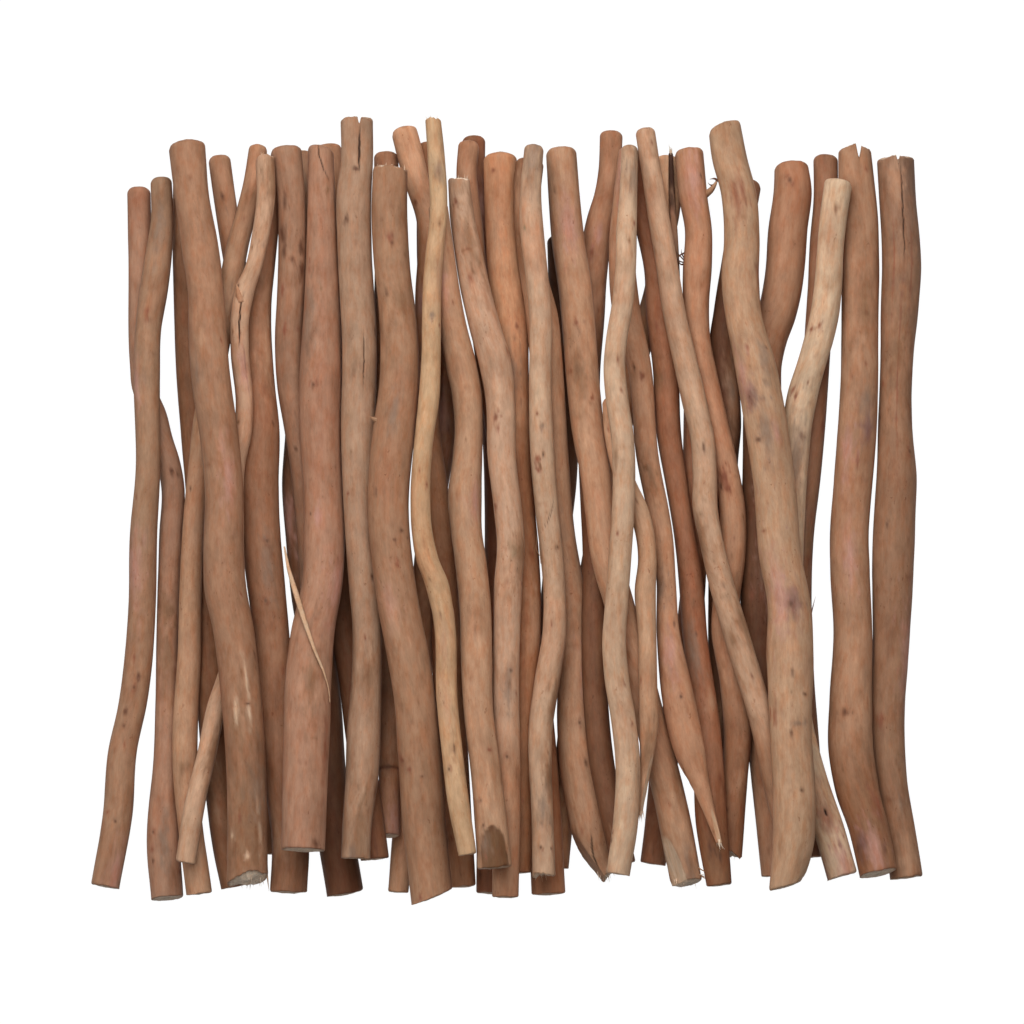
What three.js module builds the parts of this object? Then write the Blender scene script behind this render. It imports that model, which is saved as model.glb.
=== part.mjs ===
// A bundle of natural twigs: about forty peeled, sun-dried sticks lying side by side in one
// loose heap, with a torn splinter of weathered wood among them.
//
// Frame: millimetres, +Z up, the floor at z = 0. The sticks run along Y, the bundle is widest
// along X, and the origin is under the middle of the heap.
//
// Each stick is written as a course: rows of [station along Y, left edge, right edge]. The
// courses are listed from the bottom of the heap to the top, and each stick is then lowered
// onto the ones already down, so the heights are worked out and not typed in.

import * as THREE from "three";

// ---- driving dimensions (mm) ----
const SIDES = 8; // sides of a stick's cross-section
const GAP = 0.35; // clearance kept between two sticks that touch
const STEP = 2; // spacing of the stations at which contact is looked for
const SLANT = Math.tan(THREE.MathUtils.degToRad(13.5)); // courses are drawn along a line this
// far off plumb, so a stick that rests z high stands SLANT * z further towards -Y
const RIM = 0.1; // how much of its half-height an end's rim adds to a course along the slant
const SETTLE_PASSES = 4; // how often height and slide are worked out in turn
const TIGHTEST_BEND = 1 / 300; // curvature of a stick in the upright plane (1/mm)
const CORNER = 1.02; // corner radius of the octagon over the radius of the round stick
const FLAT = CORNER * Math.cos(Math.PI / SIDES); // distance of its flats, over the same radius

// ---- wood colours ----
const WOOD = {
  tan: 0xb89274,
  pale: 0xc7a58a,
  pink: 0xbd9078,
  orange: 0xb5835c,
  brown: 0x9a7358,
  dark: 0x7d5643,
  grey: 0x5c4d45,
};

// ---- the sticks, bottom of the heap first ----
// floor: the stick lies on the floor along its whole length.
// farSkew, nearSkew: how far an end is cut or torn off square (rise along Y per mm of X).
// flatness: height of the cross-section over its width.
const STICKS = [
  {
    name: "stick_01",
    wood: WOOD.pink,
    floor: true,
    course: [
      [132, -152.5, -143],
      [100, -151.9, -142.3],
      [60, -151.2, -141.8],
      [50, -150.3, -140.5],
      [40, -146.3, -136.5],
      [30, -143.5, -134],
      [20, -140.5, -131],
      [10, -138.6, -129.2],
      [-10, -139.3, -130],
      [-50, -140.3, -131.5],
      [-100, -141.3, -130.8],
      [-140, -144, -130.5],
      [-159, -142.3, -129.3],
    ],
  },
  {
    name: "stick_02",
    wood: WOOD.dark,
    floor: true,
    course: [
      [136, -134, -124.5],
      [110, -134.2, -124.2],
      [90, -133.8, -123.8],
      [60, -132.8, -122.5],
      [30, -130.6, -120.8],
      [10, -128.9, -119.3],
      [-30, -126, -116],
      [-60, -124.7, -113.5],
      [-90, -123.2, -111.2],
      [-120, -120.2, -109.7],
      [-140, -117.5, -106.8],
      [-154, -114.6, -104],
    ],
  },
  {
    name: "stick_03",
    wood: WOOD.brown,
    floor: true,
    course: [
      [145, -120, -111],
      [130, -118, -109],
      [110, -115, -106],
      [80, -110, -100.8],
      [50, -106.7, -97.2],
      [20, -104.3, -94.8],
      [0, -103, -93.5],
      [-50, -100.5, -91.2],
      [-100, -98.5, -89.3],
      [-140, -97.3, -88],
    ],
  },
  {
    name: "stick_04",
    wood: WOOD.dark,
    floor: true,
    course: [
      [146.5, -87, -76.8],
      [100, -87, -76],
      [60, -87.4, -76.4],
      [33, -88.8, -77.5],
      [10, -90.2, -78.5],
      [-10, -88.8, -77],
      [-40, -85.8, -73.5],
      [-60, -82, -68.6],
      [-80, -79.5, -66.3],
      [-108, -78, -64.3],
      [-130, -76.5, -61.5],
      [-156, -72.5, -57.3],
    ],
  },
  {
    name: "stick_06",
    wood: WOOD.dark,
    floor: true,
    course: [
      [150.5, -36, -27],
      [100, -36, -27],
      [70, -34, -25],
      [50, -30.8, -21.3],
      [30, -30.5, -20.8],
      [10, -33, -23.5],
      [-10, -36, -26.5],
      [-30, -38, -28.5],
      [-50, -38.6, -29],
      [-70, -39.5, -30],
      [-100, -41, -32],
      [-125, -45, -36],
      [-156, -47.5, -39.3],
    ],
  },
  {
    name: "stick_07",
    wood: WOOD.brown,
    floor: true,
    course: [
      [153, -18, -8.7],
      [130, -17.8, -8.8],
      [110, -16.8, -7.5],
      [80, -14, -3.5],
      [50, -11, 0],
      [20, -9.4, 1.5],
      [-20, -9, 2],
      [-60, -9.5, 1.5],
      [-100, -11, 0],
      [-130, -12, -1],
      [-156, -12.3, -1],
    ],
  },
  {
    name: "stick_08",
    wood: WOOD.brown,
    floor: true,
    course: [
      [145, 59, 68.7],
      [125, 59.5, 69.6],
      [110, 57.5, 67],
      [90, 54.8, 64],
      [80, 52, 62],
      [60, 46.5, 56],
      [20, 38, 47.5],
      [0, 34, 43.5],
      [-17, 30.5, 40],
      [-55, 24.8, 34.3],
      [-100, 19.5, 29.2],
      [-146, 15, 24.8],
    ],
  },
  {
    name: "stick_09",
    wood: WOOD.dark,
    floor: true,
    course: [
      [135, 92, 102.3],
      [120, 89, 99.6],
      [100, 85.7, 96.7],
      [90, 84, 95],
      [80, 82.5, 93.5],
      [72, 81.3, 92.5],
      [60, 81.3, 92.4],
      [45, 82.3, 93.6],
      [35, 82.8, 93.9],
      [20, 81.8, 92.6],
      [0, 81, 91.8],
      [-30, 80.5, 91],
      [-60, 80.5, 90.5],
      [-130, 82.5, 92],
    ],
  },
  {
    name: "stick_10",
    wood: WOOD.brown,
    floor: true,
    course: [
      [142, 107.3, 120.8],
      [132, 107, 122.3],
      [115, 104.7, 120.5],
      [100, 103.7, 119.4],
      [90, 102.3, 118.3],
      [80, 100, 116],
      [70, 97.3, 112.5],
      [60, 95.3, 110.2],
      [45, 94.7, 109.8],
      [20, 94.4, 109],
      [-30, 93.3, 108],
      [-60, 94, 108.5],
      [-100, 96.6, 111],
      [-125, 99, 113.3],
      [-149, 101.5, 115],
    ],
  },
  {
    name: "stick_11",
    wood: WOOD.dark,
    floor: true,
    course: [
      [145.5, 122.9, 132.8],
      [130, 123, 132.8],
      [110, 121.4, 131.8],
      [90, 120.5, 131.3],
      [75, 119.5, 130.3],
      [50, 118.2, 128.7],
      [30, 116.8, 127.2],
      [10, 115, 125.3],
      [-10, 112.5, 123],
      [-40, 111.3, 122],
      [-70, 112, 123],
      [-100, 114.2, 125.2],
      [-142, 116, 126],
    ],
  },
  {
    name: "stick_12",
    wood: WOOD.brown,
    floor: true,
    course: [
      [144, 148.4, 163.4],
      [130, 149.2, 164],
      [112, 150.3, 165.7],
      [100, 150.4, 166.2],
      [85, 149.8, 165.2],
      [65, 149.6, 163.1],
      [30, 148.4, 162.6],
      [14, 147.9, 164],
      [0, 147, 163.6],
      [-20, 146, 162.9],
      [-50, 146.2, 161.4],
      [-90, 145.2, 159.1],
      [-110, 147, 160],
      [-130, 150.5, 163],
      [-149.5, 152.8, 166],
    ],
  },
  {
    name: "stick_42",
    wood: WOOD.brown,
    floor: true,
    course: [
      [112, 16, 25.5],
      [80, 17, 26.5],
      [50, 18, 27.5],
      [30, 19.3, 28.6],
      [12, 18.8, 28],
      [-10, 16, 25.5],
      [-30, 14, 23.5],
      [-55, 12, 21.5],
      [-80, 9.5, 18.8],
      [-100, 8, 17.3],
      [-125, 5.5, 15],
      [-140, 4.2, 13.7],
    ],
  },
  {
    name: "stick_43",
    wood: WOOD.brown,
    floor: true,
    course: [
      [140, 70.8, 79],
      [110, 71.8, 80.8],
      [90, 71.5, 81],
      [70, 70.5, 80.3],
      [45, 70.8, 80.4],
      [20, 70.4, 80],
      [0, 70, 79.9],
      [-30, 69.6, 79.6],
      [-60, 66, 76.5],
      [-85, 61.5, 72.3],
      [-100, 58, 69],
      [-116, 56.3, 67.3],
      [-130, 55, 65.8],
      [-144.5, 53.2, 63.6],
    ],
  },
  {
    name: "stick_05",
    wood: WOOD.brown,
    course: [
      [147, -53.5, -43.5],
      [110, -53, -43.3],
      [60, -53.8, -44],
      [0, -53, -43.5],
      [-50, -52, -42.7],
      [-85, -51.4, -42.6],
      [-110, -51.3, -42.8],
      [-134, -51.6, -42.7],
    ],
  },
  {
    name: "stick_13",
    wood: WOOD.dark,
    course: [
      [150.5, -76.5, -66.5],
      [127, -75, -64.8],
      [100, -74.5, -64.3],
      [60, -73.8, -63.5],
      [0, -72.5, -62.3],
      [-30, -71.5, -60.5],
      [-50, -70.5, -60],
      [-70, -67.3, -56.8],
      [-90, -65, -54.5],
      [-120, -61, -50],
      [-143, -58.6, -47.2],
    ],
  },
  {
    name: "stick_14",
    wood: WOOD.tan,
    course: [
      [149, 133, 146],
      [135, 133, 147.4],
      [120, 133.6, 149],
      [105, 134, 149.4],
      [80, 134, 149],
      [50, 133.6, 148.8],
      [30, 132.3, 148],
      [10, 130.7, 146.3],
      [-10, 129.2, 144.8],
      [-25, 129.3, 145.2],
      [-50, 130.5, 146.2],
      [-80, 128.7, 146],
      [-100, 128.4, 146.7],
      [-115, 131, 149],
      [-130, 136, 152.5],
      [-149.5, 140.3, 156],
    ],
  },
  {
    name: "stick_15",
    wood: WOOD.tan,
    course: [
      [150, -103.5, -96],
      [135, -105.8, -97.9],
      [120, -109.5, -101],
      [110, -112.3, -103.3],
      [90, -116, -106.7],
      [75, -119, -109.7],
      [55, -122.5, -113.2],
      [35, -126, -116.8],
      [20, -127.5, -118.5],
      [0, -129.3, -120.8],
      [-30, -131, -122],
      [-60, -131.8, -122.3],
      [-90, -133.8, -123.5],
      [-110, -133.5, -123.5],
      [-130, -131.5, -121.5],
      [-157, -128.3, -117.8],
    ],
  },
  {
    name: "stick_16",
    wood: WOOD.brown,
    course: [
      [142, -99.5, -90.5],
      [120, -100.5, -91.2],
      [100, -102.5, -93],
      [85, -104.5, -94.3],
      [65, -105.9, -94],
      [50, -106.4, -92.9],
      [35, -106.8, -91.2],
      [10, -107.0, -91.3],
      [-10, -106.2, -90.5],
      [-30, -104.2, -88.7],
      [-50, -101.5, -87],
      [-80, -99.5, -84.5],
      [-110, -97, -82],
      [-140, -94, -79],
      [-156, -94.7, -79.7],
    ],
  },
  {
    name: "stick_17",
    wood: WOOD.pink,
    course: [
      [149, -95, -82.3],
      [130, -92.2, -81],
      [110, -91.6, -80.5],
      [90, -92, -80.8],
      [70, -93, -81.7],
      [50, -92, -80.5],
      [35, -89.5, -78.2],
      [20, -87.2, -76],
      [0, -85, -73.8],
      [-20, -83.5, -72.5],
      [-60, -82, -71],
      [-100, -82.5, -71.5],
      [-134, -84, -73],
    ],
  },
  {
    name: "stick_18",
    wood: WOOD.brown,
    course: [
      [157, -46.8, -36],
      [145, -44, -33],
      [133, -40.5, -30.5],
      [120, -36.5, -27],
      [105, -35.9, -26.3],
      [90, -36.8, -27.2],
      [60, -36.5, -27],
      [30, -36, -26.5],
      [10, -33.5, -23.7],
      [-30, -30, -19.7],
      [-60, -30, -17.8],
      [-100, -27.5, -15.5],
      [-154, -22.8, -12.5],
    ],
  },
  {
    name: "stick_19",
    wood: WOOD.brown,
    course: [
      [151.5, -19.5, -11],
      [140, -20.3, -12],
      [120, -19, -10],
      [100, -17, -8],
      [82, -15.3, -6],
      [50, -11, -1.5],
      [20, -7, 3],
      [0, -4, 6.5],
      [-40, 1, 12],
      [-80, 5, 18],
      [-120, 8, 21.5],
      [-157, 9.7, 23.3],
    ],
  },
  {
    name: "stick_20",
    wood: WOOD.orange,
    course: [
      [146, -9.5, 4],
      [120, -8.9, 4.6],
      [100, -8, 6],
      [80, -6, 8.4],
      [60, -4.3, 8.8],
      [40, -4.2, 9],
      [20, -3.5, 9.6],
      [0, -1.3, 11.3],
      [-20, 0.3, 13],
      [-50, 1, 13.7],
      [-80, 0.3, 12],
      [-110, 0, 11],
      [-148, -1, 10],
    ],
  },
  {
    name: "stick_21",
    wood: WOOD.brown,
    nearSkew: 0.5,
    course: [
      [144, 3.5, 14.8],
      [130, 2.7, 13.5],
      [110, 3.5, 14],
      [95, 5.3, 16.6],
      [80, 7.5, 20.5],
      [60, 9.5, 22.3],
      [20, 13, 24.8],
      [-10, 15.5, 27.3],
      [-40, 19.5, 32.3],
      [-60, 20.5, 34.5],
      [-90, 20, 36],
      [-110, 21.7, 39],
      [-125, 24.5, 41.5],
      [-140, 28.5, 42.5],
      [-150, 35.5, 43.5],
    ],
  },
  {
    name: "stick_22",
    wood: WOOD.brown,
    course: [
      [156, 37.3, 46.5],
      [140, 36.7, 45.7],
      [130, 35, 44.7],
      [120, 32, 43],
      [110, 30, 41.7],
      [95, 29.2, 40],
      [80, 28.5, 39.2],
      [55, 27.5, 37.3],
      [20, 28.6, 38.5],
      [-20, 30.2, 40.5],
      [-50, 29.7, 39.7],
      [-80, 30.5, 40.6],
      [-103, 32.7, 42.8],
      [-125, 37, 47],
      [-145, 41.5, 51.4],
    ],
  },
  {
    name: "splinter",
    wood: WOOD.grey,
    flatness: 0.7,
    course: [
      [148, 64.8, 66.6],
      [130, 64.9, 67.4],
      [112, 65.6, 68.6],
      [90, 66.8, 69.6],
      [66, 68.4, 70],
    ],
  },
  {
    name: "stick_23",
    wood: WOOD.orange,
    course: [
      [148.5, 67.2, 78.7],
      [130, 68.8, 80.3],
      [115, 71.3, 82.2],
      [100, 70.5, 82.1],
      [85, 70.5, 81],
      [70, 71.5, 81.6],
      [55, 74, 84.5],
      [40, 77.5, 87.8],
      [20, 82.3, 92.1],
      [0, 85, 95.5],
      [-20, 84.7, 95.4],
      [-35, 82.5, 93.5],
      [-50, 81.8, 93],
      [-70, 84.8, 95.5],
      [-90, 86.5, 97.8],
      [-110, 86, 96.2],
      [-141, 84, 94],
    ],
  },
  {
    name: "stick_24",
    wood: WOOD.orange,
    course: [
      [146, 45.5, 55],
      [130, 48.3, 58],
      [115, 51.7, 61.3],
      [100, 54.8, 64.3],
      [80, 55.8, 66.5],
      [60, 58.2, 68.5],
      [30, 60, 70],
      [10, 63.5, 72.5],
      [-8, 66.5, 75],
      [-30, 68.7, 78.5],
      [-50, 70, 80],
      [-90, 74.5, 85.3],
      [-130, 75.5, 88.2],
      [-153.5, 79.5, 89.6],
    ],
  },
  {
    name: "stick_25",
    wood: WOOD.pale,
    course: [
      [135.5, 127.2, 138.6],
      [123, 125.6, 136.7],
      [110, 124.4, 135.1],
      [90, 122.8, 134.2],
      [80, 121.3, 133],
      [70, 118.8, 130.8],
      [60, 116, 127.8],
      [48, 112.3, 124.7],
      [35, 110.2, 122.2],
      [20, 109.3, 120.7],
      [0, 108.4, 119.4],
      [-20, 107.3, 118.6],
      [-50, 108, 119.2],
      [-90, 111.5, 122.8],
      [-110, 115.8, 128],
      [-130, 121.8, 134.7],
      [-149.5, 127.2, 140],
    ],
  },
  {
    name: "stick_26",
    wood: WOOD.tan,
    course: [
      [136.5, -143, -134.5],
      [120, -142.8, -133.8],
      [105, -145, -134.3],
      [90, -147.5, -136],
      [75, -149, -138.5],
      [55, -149.6, -139],
      [15, -148.8, -138.8],
      [-10, -151, -140],
      [-40, -151.6, -140.6],
      [-65, -153.6, -142],
      [-80, -155.5, -144],
      [-100, -159.7, -148],
      [-125, -161.6, -149.7],
      [-154, -166.2, -154.5],
    ],
  },
  {
    name: "stick_27",
    wood: WOOD.pale,
    course: [
      [145, -100.8, -93.2],
      [130, -100.3, -92.8],
      [115, -102, -94.8],
      [100, -105, -98],
      [90, -109.3, -100.9],
      [80, -110.8, -103],
      [65, -110.6, -103.2],
      [42, -108.6, -101.5],
      [30, -109.8, -102.3],
      [20, -112, -104.4],
      [-10, -112.8, -105.2],
      [-50, -112.8, -105],
      [-66, -115.3, -107.5],
      [-80, -119.8, -112],
      [-100, -123.8, -116],
      [-120, -128.7, -120.3],
      [-144, -132.3, -124],
    ],
  },
  {
    name: "stick_28",
    wood: WOOD.orange,
    farSkew: -0.25,
    course: [
      [149, -79.8, -69.5],
      [130, -80, -68.8],
      [110, -80.4, -67.8],
      [90, -81, -67],
      [70, -82.2, -66.2],
      [50, -83.3, -66],
      [30, -83, -66.2],
      [10, -81.5, -65.7],
      [-10, -81.2, -64.8],
      [-30, -82, -65.5],
      [-50, -86.2, -68.6],
      [-70, -88.7, -70],
      [-100, -89.3, -71],
      [-139, -90, -72.6],
    ],
  },
  {
    name: "stick_29",
    wood: WOOD.tan,
    course: [
      [161, -66.7, -53.7],
      [145, -66.6, -53.6],
      [130, -68.3, -54.3],
      [110, -68, -54.3],
      [90, -67, -53.3],
      [70, -66, -52.1],
      [30, -66.3, -52.8],
      [0, -65.3, -52.2],
      [-30, -63.3, -50.8],
      [-50, -61.8, -50],
      [-70, -62.3, -50],
      [-90, -64, -50.3],
      [-110, -64.5, -51.3],
      [-130, -65.8, -54],
      [-142.5, -66.2, -54.5],
    ],
  },
  {
    name: "stick_30",
    wood: WOOD.pink,
    course: [
      [148.5, 15.6, 27.8],
      [130, 16.5, 29.2],
      [110, 18, 31.3],
      [90, 20.7, 34.4],
      [70, 22.5, 35.8],
      [50, 24, 37.2],
      [30, 26.2, 39.3],
      [15, 29.2, 41.5],
      [0, 31, 43],
      [-20, 33.5, 46.3],
      [-40, 39, 51.4],
      [-80, 49, 62],
      [-120, 58.8, 72],
      [-153.5, 65, 78],
    ],
  },
  {
    name: "stick_31",
    wood: WOOD.tan,
    flatness: 0.9,
    course: [
      [149, 44.8, 53.3],
      [130, 42.7, 51.8],
      [110, 40.8, 51.2],
      [100, 40.8, 51.5],
      [85, 41.8, 53.2],
      [60, 48, 57.8],
      [20, 52, 61],
      [0, 56, 64.8],
      [-10, 58, 66.3],
      [-30, 59.7, 67.6],
      [-50, 59.7, 69],
      [-70, 61, 73.3],
      [-85, 63, 76.5],
      [-100, 67, 79.5],
      [-115, 74, 81.6],
      [-137, 83.2, 85.9],
    ],
  },
  {
    name: "stick_32",
    wood: WOOD.tan,
    course: [
      [45.5, 38, 45.5],
      [30, 39, 46.5],
      [13, 43, 51],
      [0, 48.5, 56.7],
      [-10, 51.3, 59],
      [-20, 52.3, 59.8],
      [-33, 51, 59.5],
      [-50, 52.2, 59.6],
      [-70, 52.5, 60],
      [-90, 52.8, 60.3],
      [-105, 53, 57.8],
      [-125, 52, 54.3],
    ],
  },
  {
    name: "stick_33",
    wood: WOOD.pink,
    course: [
      [157, 51.3, 59.3],
      [140, 53.7, 61.8],
      [120, 56.5, 65.3],
      [100, 59.7, 68.7],
      [80, 62.5, 72],
      [60, 66.7, 76.6],
      [45, 69.8, 80],
      [30, 73.2, 83],
      [15, 74.2, 84.1],
      [0, 74.3, 84.5],
      [-10, 76.3, 86],
      [-30, 80.5, 90.7],
      [-50, 86, 96.7],
      [-90, 97.5, 108],
      [-110, 101.7, 112.5],
      [-143, 109, 119.5],
    ],
  },
  {
    name: "stick_34",
    wood: WOOD.pale,
    course: [
      [150, 7, 14.8],
      [130, 5.2, 13.7],
      [118, 5, 14.4],
      [100, 7, 16.1],
      [80, 8.9, 17.8],
      [50, 8.8, 17.8],
      [30, 9, 18.5],
      [0, 11.3, 20.7],
      [-20, 13.5, 22.6],
      [-35, 14.5, 23.5],
      [-50, 14.2, 23.8],
      [-70, 11, 21.2],
      [-90, 8.6, 18.2],
      [-105, 8.6, 17.8],
      [-120, 9.5, 18.3],
      [-149, 10, 19.4],
    ],
  },
  {
    name: "stick_35",
    wood: WOOD.pale,
    course: [
      [136, -23.6, -15],
      [120, -22.8, -12.9],
      [105, -20.9, -9.6],
      [90, -18.5, -6.3],
      [75, -15.2, -2.2],
      [60, -11.3, 2.2],
      [48, -8.9, 3.3],
      [20, -7.7, 3.8],
      [0, -5.3, 6],
      [-15, -4, 7.2],
      [-30, -5.1, 6.3],
      [-50, -5.4, 5.3],
      [-80, -5.8, 5],
      [-110, -5.4, 5.5],
      [-158, -6, 4.7],
    ],
  },
  {
    name: "stick_36",
    wood: WOOD.tan,
    course: [
      [126, -31.5, -23.8],
      [110, -30.5, -21.6],
      [90, -28.5, -18.8],
      [75, -26.8, -16],
      [60, -24.7, -12.2],
      [48, -22.2, -10],
      [35, -21, -9.6],
      [20, -22, -9.9],
      [5, -23.7, -10],
      [-10, -22.3, -9.8],
      [-20, -21, -8.3],
      [-40, -19, -6.3],
      [-60, -18.5, -5.8],
      [-80, -17.5, -5.6],
      [-110, -14.3, -2],
      [-146, -12, 2],
    ],
  },
  {
    name: "stick_37",
    wood: WOOD.tan,
    nearSkew: 0.2,
    course: [
      [151, -135.8, -121],
      [130, -133.3, -119.5],
      [110, -130.8, -115.7],
      [90, -128, -113.3],
      [70, -127.5, -112],
      [50, -125.8, -110],
      [30, -122.8, -107.3],
      [10, -120.9, -105.4],
      [-20, -121.3, -105.2],
      [-32, -121, -104],
      [-50, -117.5, -100.8],
      [-70, -115, -98.7],
      [-90, -113.2, -97],
      [-120, -111.8, -95.8],
      [-153, -112, -95.2],
    ],
  },
  {
    name: "stick_38",
    wood: WOOD.brown,
    nearSkew: 0.3,
    course: [
      [140.5, -53.9, -39.9],
      [120, -54.2, -39.8],
      [100, -53.2, -38.7],
      [80, -51.3, -36.3],
      [65, -50.7, -35.2],
      [50, -51.2, -35],
      [30, -54, -37],
      [0, -55.6, -39.2],
      [-20, -54.3, -37.8],
      [-40, -51.7, -34.8],
      [-60, -48, -31],
      [-80, -45, -28],
      [-100, -43.6, -26],
      [-130, -41.5, -24.2],
      [-158, -38.5, -21.5],
    ],
  },
  {
    name: "stick_39",
    wood: WOOD.orange,
    course: [
      [160.5, -32.7, -26.4],
      [145, -31.8, -24.8],
      [120, -31, -24],
      [105, -32.7, -25.4],
      [90, -33.8, -26.2],
      [60, -34.3, -26.5],
      [45, -35.5, -27],
      [30, -37, -29.3],
      [5, -38.6, -30.6],
      [-10, -38, -29.5],
      [-20, -36.5, -27.2],
      [-30, -33, -23.3],
      [-40, -30.3, -21.5],
      [-80, -28, -19.5],
      [-100, -26, -17.5],
      [-120, -23.7, -15],
      [-141, -19.5, -12.2],
    ],
  },
  {
    name: "stick_40",
    wood: WOOD.pale,
    course: [
      [150, 45.8, 52.5],
      [130, 45, 52.2],
      [115, 43.7, 52],
      [100, 43.4, 51.7],
      [85, 41.9, 50.6],
      [70, 39.5, 48.1],
      [60, 38.6, 47.3],
      [45, 39.5, 48.6],
      [30, 41.6, 50.7],
      [10, 42.2, 51.3],
      [-20, 40.5, 49.7],
      [-40, 39, 48.3],
      [-55, 38, 47.5],
      [-70, 39, 48.8],
      [-85, 41.3, 51.2],
      [-105, 43.2, 53.2],
      [-130, 42, 52.2],
      [-149, 39.5, 49.2],
    ],
  },
  {
    name: "stick_41",
    wood: WOOD.tan,
    farSkew: 0.2,
    nearSkew: 0.15,
    course: [
      [158.5, 80.6, 93.8],
      [145, 82.2, 96.3],
      [130, 85.8, 100],
      [112, 86.9, 101.3],
      [95, 86, 101],
      [80, 87.4, 102.2],
      [60, 91, 107.7],
      [40, 94.3, 111.4],
      [10, 98.6, 115.4],
      [-20, 100.8, 118],
      [-38, 103.8, 121.5],
      [-60, 103.8, 122.6],
      [-90, 104.8, 121.7],
      [-120, 106, 123.3],
      [-135, 106, 122.8],
      [-153.5, 105, 118],
    ],
  },
];

// ---- geometry of one stick ----

// Half-width and half-height of the section at each row, with the heading of the centre line.
function sections(stick) {
  const rows = stick.course.map(([y, left, right]) => ({
    y,
    x: (left + right) / 2,
    halfWidth: (right - left) / 2,
  }));
  rows.forEach((row, i) => {
    const before = rows[Math.max(i - 1, 0)];
    const after = rows[Math.min(i + 1, rows.length - 1)];
    row.heading = (after.x - before.x) / (after.y - before.y);
    const square = Math.cos(Math.atan(row.heading));
    row.halfHeight = row.halfWidth * square * (stick.flatness ?? 1);
  });
  return rows;
}

// The section at any station, straight between the two rows around it, or null past an end.
function sectionAt(rows, y) {
  for (let i = 1; i < rows.length; i += 1) {
    const far = rows[i - 1];
    const near = rows[i];
    if (y <= far.y && y >= near.y) {
      const t = (far.y - y) / (far.y - near.y);
      const mix = (key) => far[key] + (near[key] - far[key]) * t;
      return {
        x: mix("x"),
        z: mix("z"),
        halfWidth: mix("halfWidth"),
        halfHeight: mix("halfHeight"),
      };
    }
  }
  return null;
}

// How high one section's centre stands over another's when they touch.
function rise(upper, lower) {
  const width = CORNER * (upper.halfWidth + lower.halfWidth) + GAP;
  const height = CORNER * (upper.halfHeight + lower.halfHeight) + GAP;
  const share = (upper.x - lower.x) / width;
  return Math.abs(share) < 1 ? height * Math.sqrt(1 - share * share) : null;
}

// Replaces each height by the highest that a parabola of the tightest bend carries to it.
// sign +1 rounds the peaks over, and sign -1 hangs the line under them.
function bend(stations, heights, sign) {
  return stations.map((y) => {
    const carried = stations.map((other, k) => {
      return sign * heights[k] - ((other - y) ** 2 * TIGHTEST_BEND) / 2;
    });
    return sign * Math.max(...carried);
  });
}

// The heights a stick lies at: over every support, with no bend tighter than the wood has.
function drape(stations, needed) {
  const rounded = bend(stations, needed, 1);
  return bend(stations, bend(stations, rounded, 1), -1);
}

// The lowest height of the stick's centre at each station, over the floor and the other sticks.
function heightsNeeded(rows, stations, down) {
  return stations.map((y) => {
    const here = sectionAt(rows, y);
    let needed = here.halfHeight * FLAT;
    for (const other of down) {
      const there = sectionAt(other, y);
      const lift = there && rise(here, there);
      if (lift !== null) needed = Math.max(needed, there.z + lift);
    }
    return needed;
  });
}

// Stations from the near end to the far end of the rows, both included.
function stationsAlong(rows) {
  const near = rows.at(-1).y;
  const length = rows[0].y - near;
  const count = Math.ceil(length / STEP);
  return Array.from({ length: count + 1 }, (_, k) => {
    return Math.min(near + (length * k) / count, rows[0].y);
  });
}

// Lowers a stick onto the ones already down, and slides it by its height along the slant.
function settle(stick, down) {
  const rows = sections(stick);
  const drawn = rows.map((row) => row.y);
  drawn[0] -= RIM * rows[0].halfHeight;
  drawn[drawn.length - 1] += RIM * rows.at(-1).halfHeight;
  rows.forEach((row) => {
    row.z = row.halfHeight * FLAT;
    row.y -= SLANT * row.z;
  });
  if (stick.floor) return rows;
  for (let pass = 0; pass < SETTLE_PASSES; pass += 1) {
    rows.forEach((row, i) => {
      row.y = drawn[i] - SLANT * row.z;
    });
    const stations = stationsAlong(rows);
    const needed = heightsNeeded(rows, stations, down);
    const line = drape(stations, needed);
    rows.forEach((row) => {
      const k = stations.findIndex((y) => y >= row.y - 1e-6);
      row.z = line[k];
    });
    stations.forEach((y, k) => {
      const short = needed[k] - sectionAt(rows, y).z;
      if (short <= 0) return;
      const i = Math.max(1, rows.findIndex((row) => row.y <= y));
      rows[i - 1].z += short;
      rows[i].z += short;
    });
  }
  return rows;
}

// A closed tube of octagons in planes across Y, with the two ends cut at their own angle.
function stickGeometry(rows, stick) {
  const last = rows.length - 1;
  const positions = [];
  rows.forEach((row, i) => {
    let skew = 0;
    if (i === 0) skew = -row.heading + (stick.farSkew ?? 0);
    if (i === last) skew = -row.heading + (stick.nearSkew ?? 0);
    for (let s = 0; s < SIDES; s += 1) {
      const angle = ((s + 0.5) / SIDES) * 2 * Math.PI;
      const dx = Math.cos(angle) * row.halfWidth * CORNER;
      const dz = Math.sin(angle) * row.halfHeight * CORNER;
      positions.push(row.x + dx, row.y + skew * dx, row.z + dz);
    }
  });
  const faces = [];
  for (let i = 0; i < last; i += 1) {
    for (let s = 0; s < SIDES; s += 1) {
      const a = i * SIDES + s;
      const b = i * SIDES + ((s + 1) % SIDES);
      faces.push(a, b, b + SIDES, a, b + SIDES, a + SIDES);
    }
  }
  const end = last * SIDES;
  for (let s = 1; s < SIDES - 1; s += 1) {
    faces.push(0, s + 1, s, end, end + s, end + s + 1);
  }
  const geometry = new THREE.BufferGeometry();
  geometry.setAttribute("position", new THREE.Float32BufferAttribute(positions, 3));
  geometry.setIndex(faces);
  geometry.computeVertexNormals();
  return geometry;
}

function woodMaterial(colour) {
  return new THREE.MeshStandardMaterial({
    color: colour,
    roughness: 0.85,
    metalness: 0,
    flatShading: true,
  });
}

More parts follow.
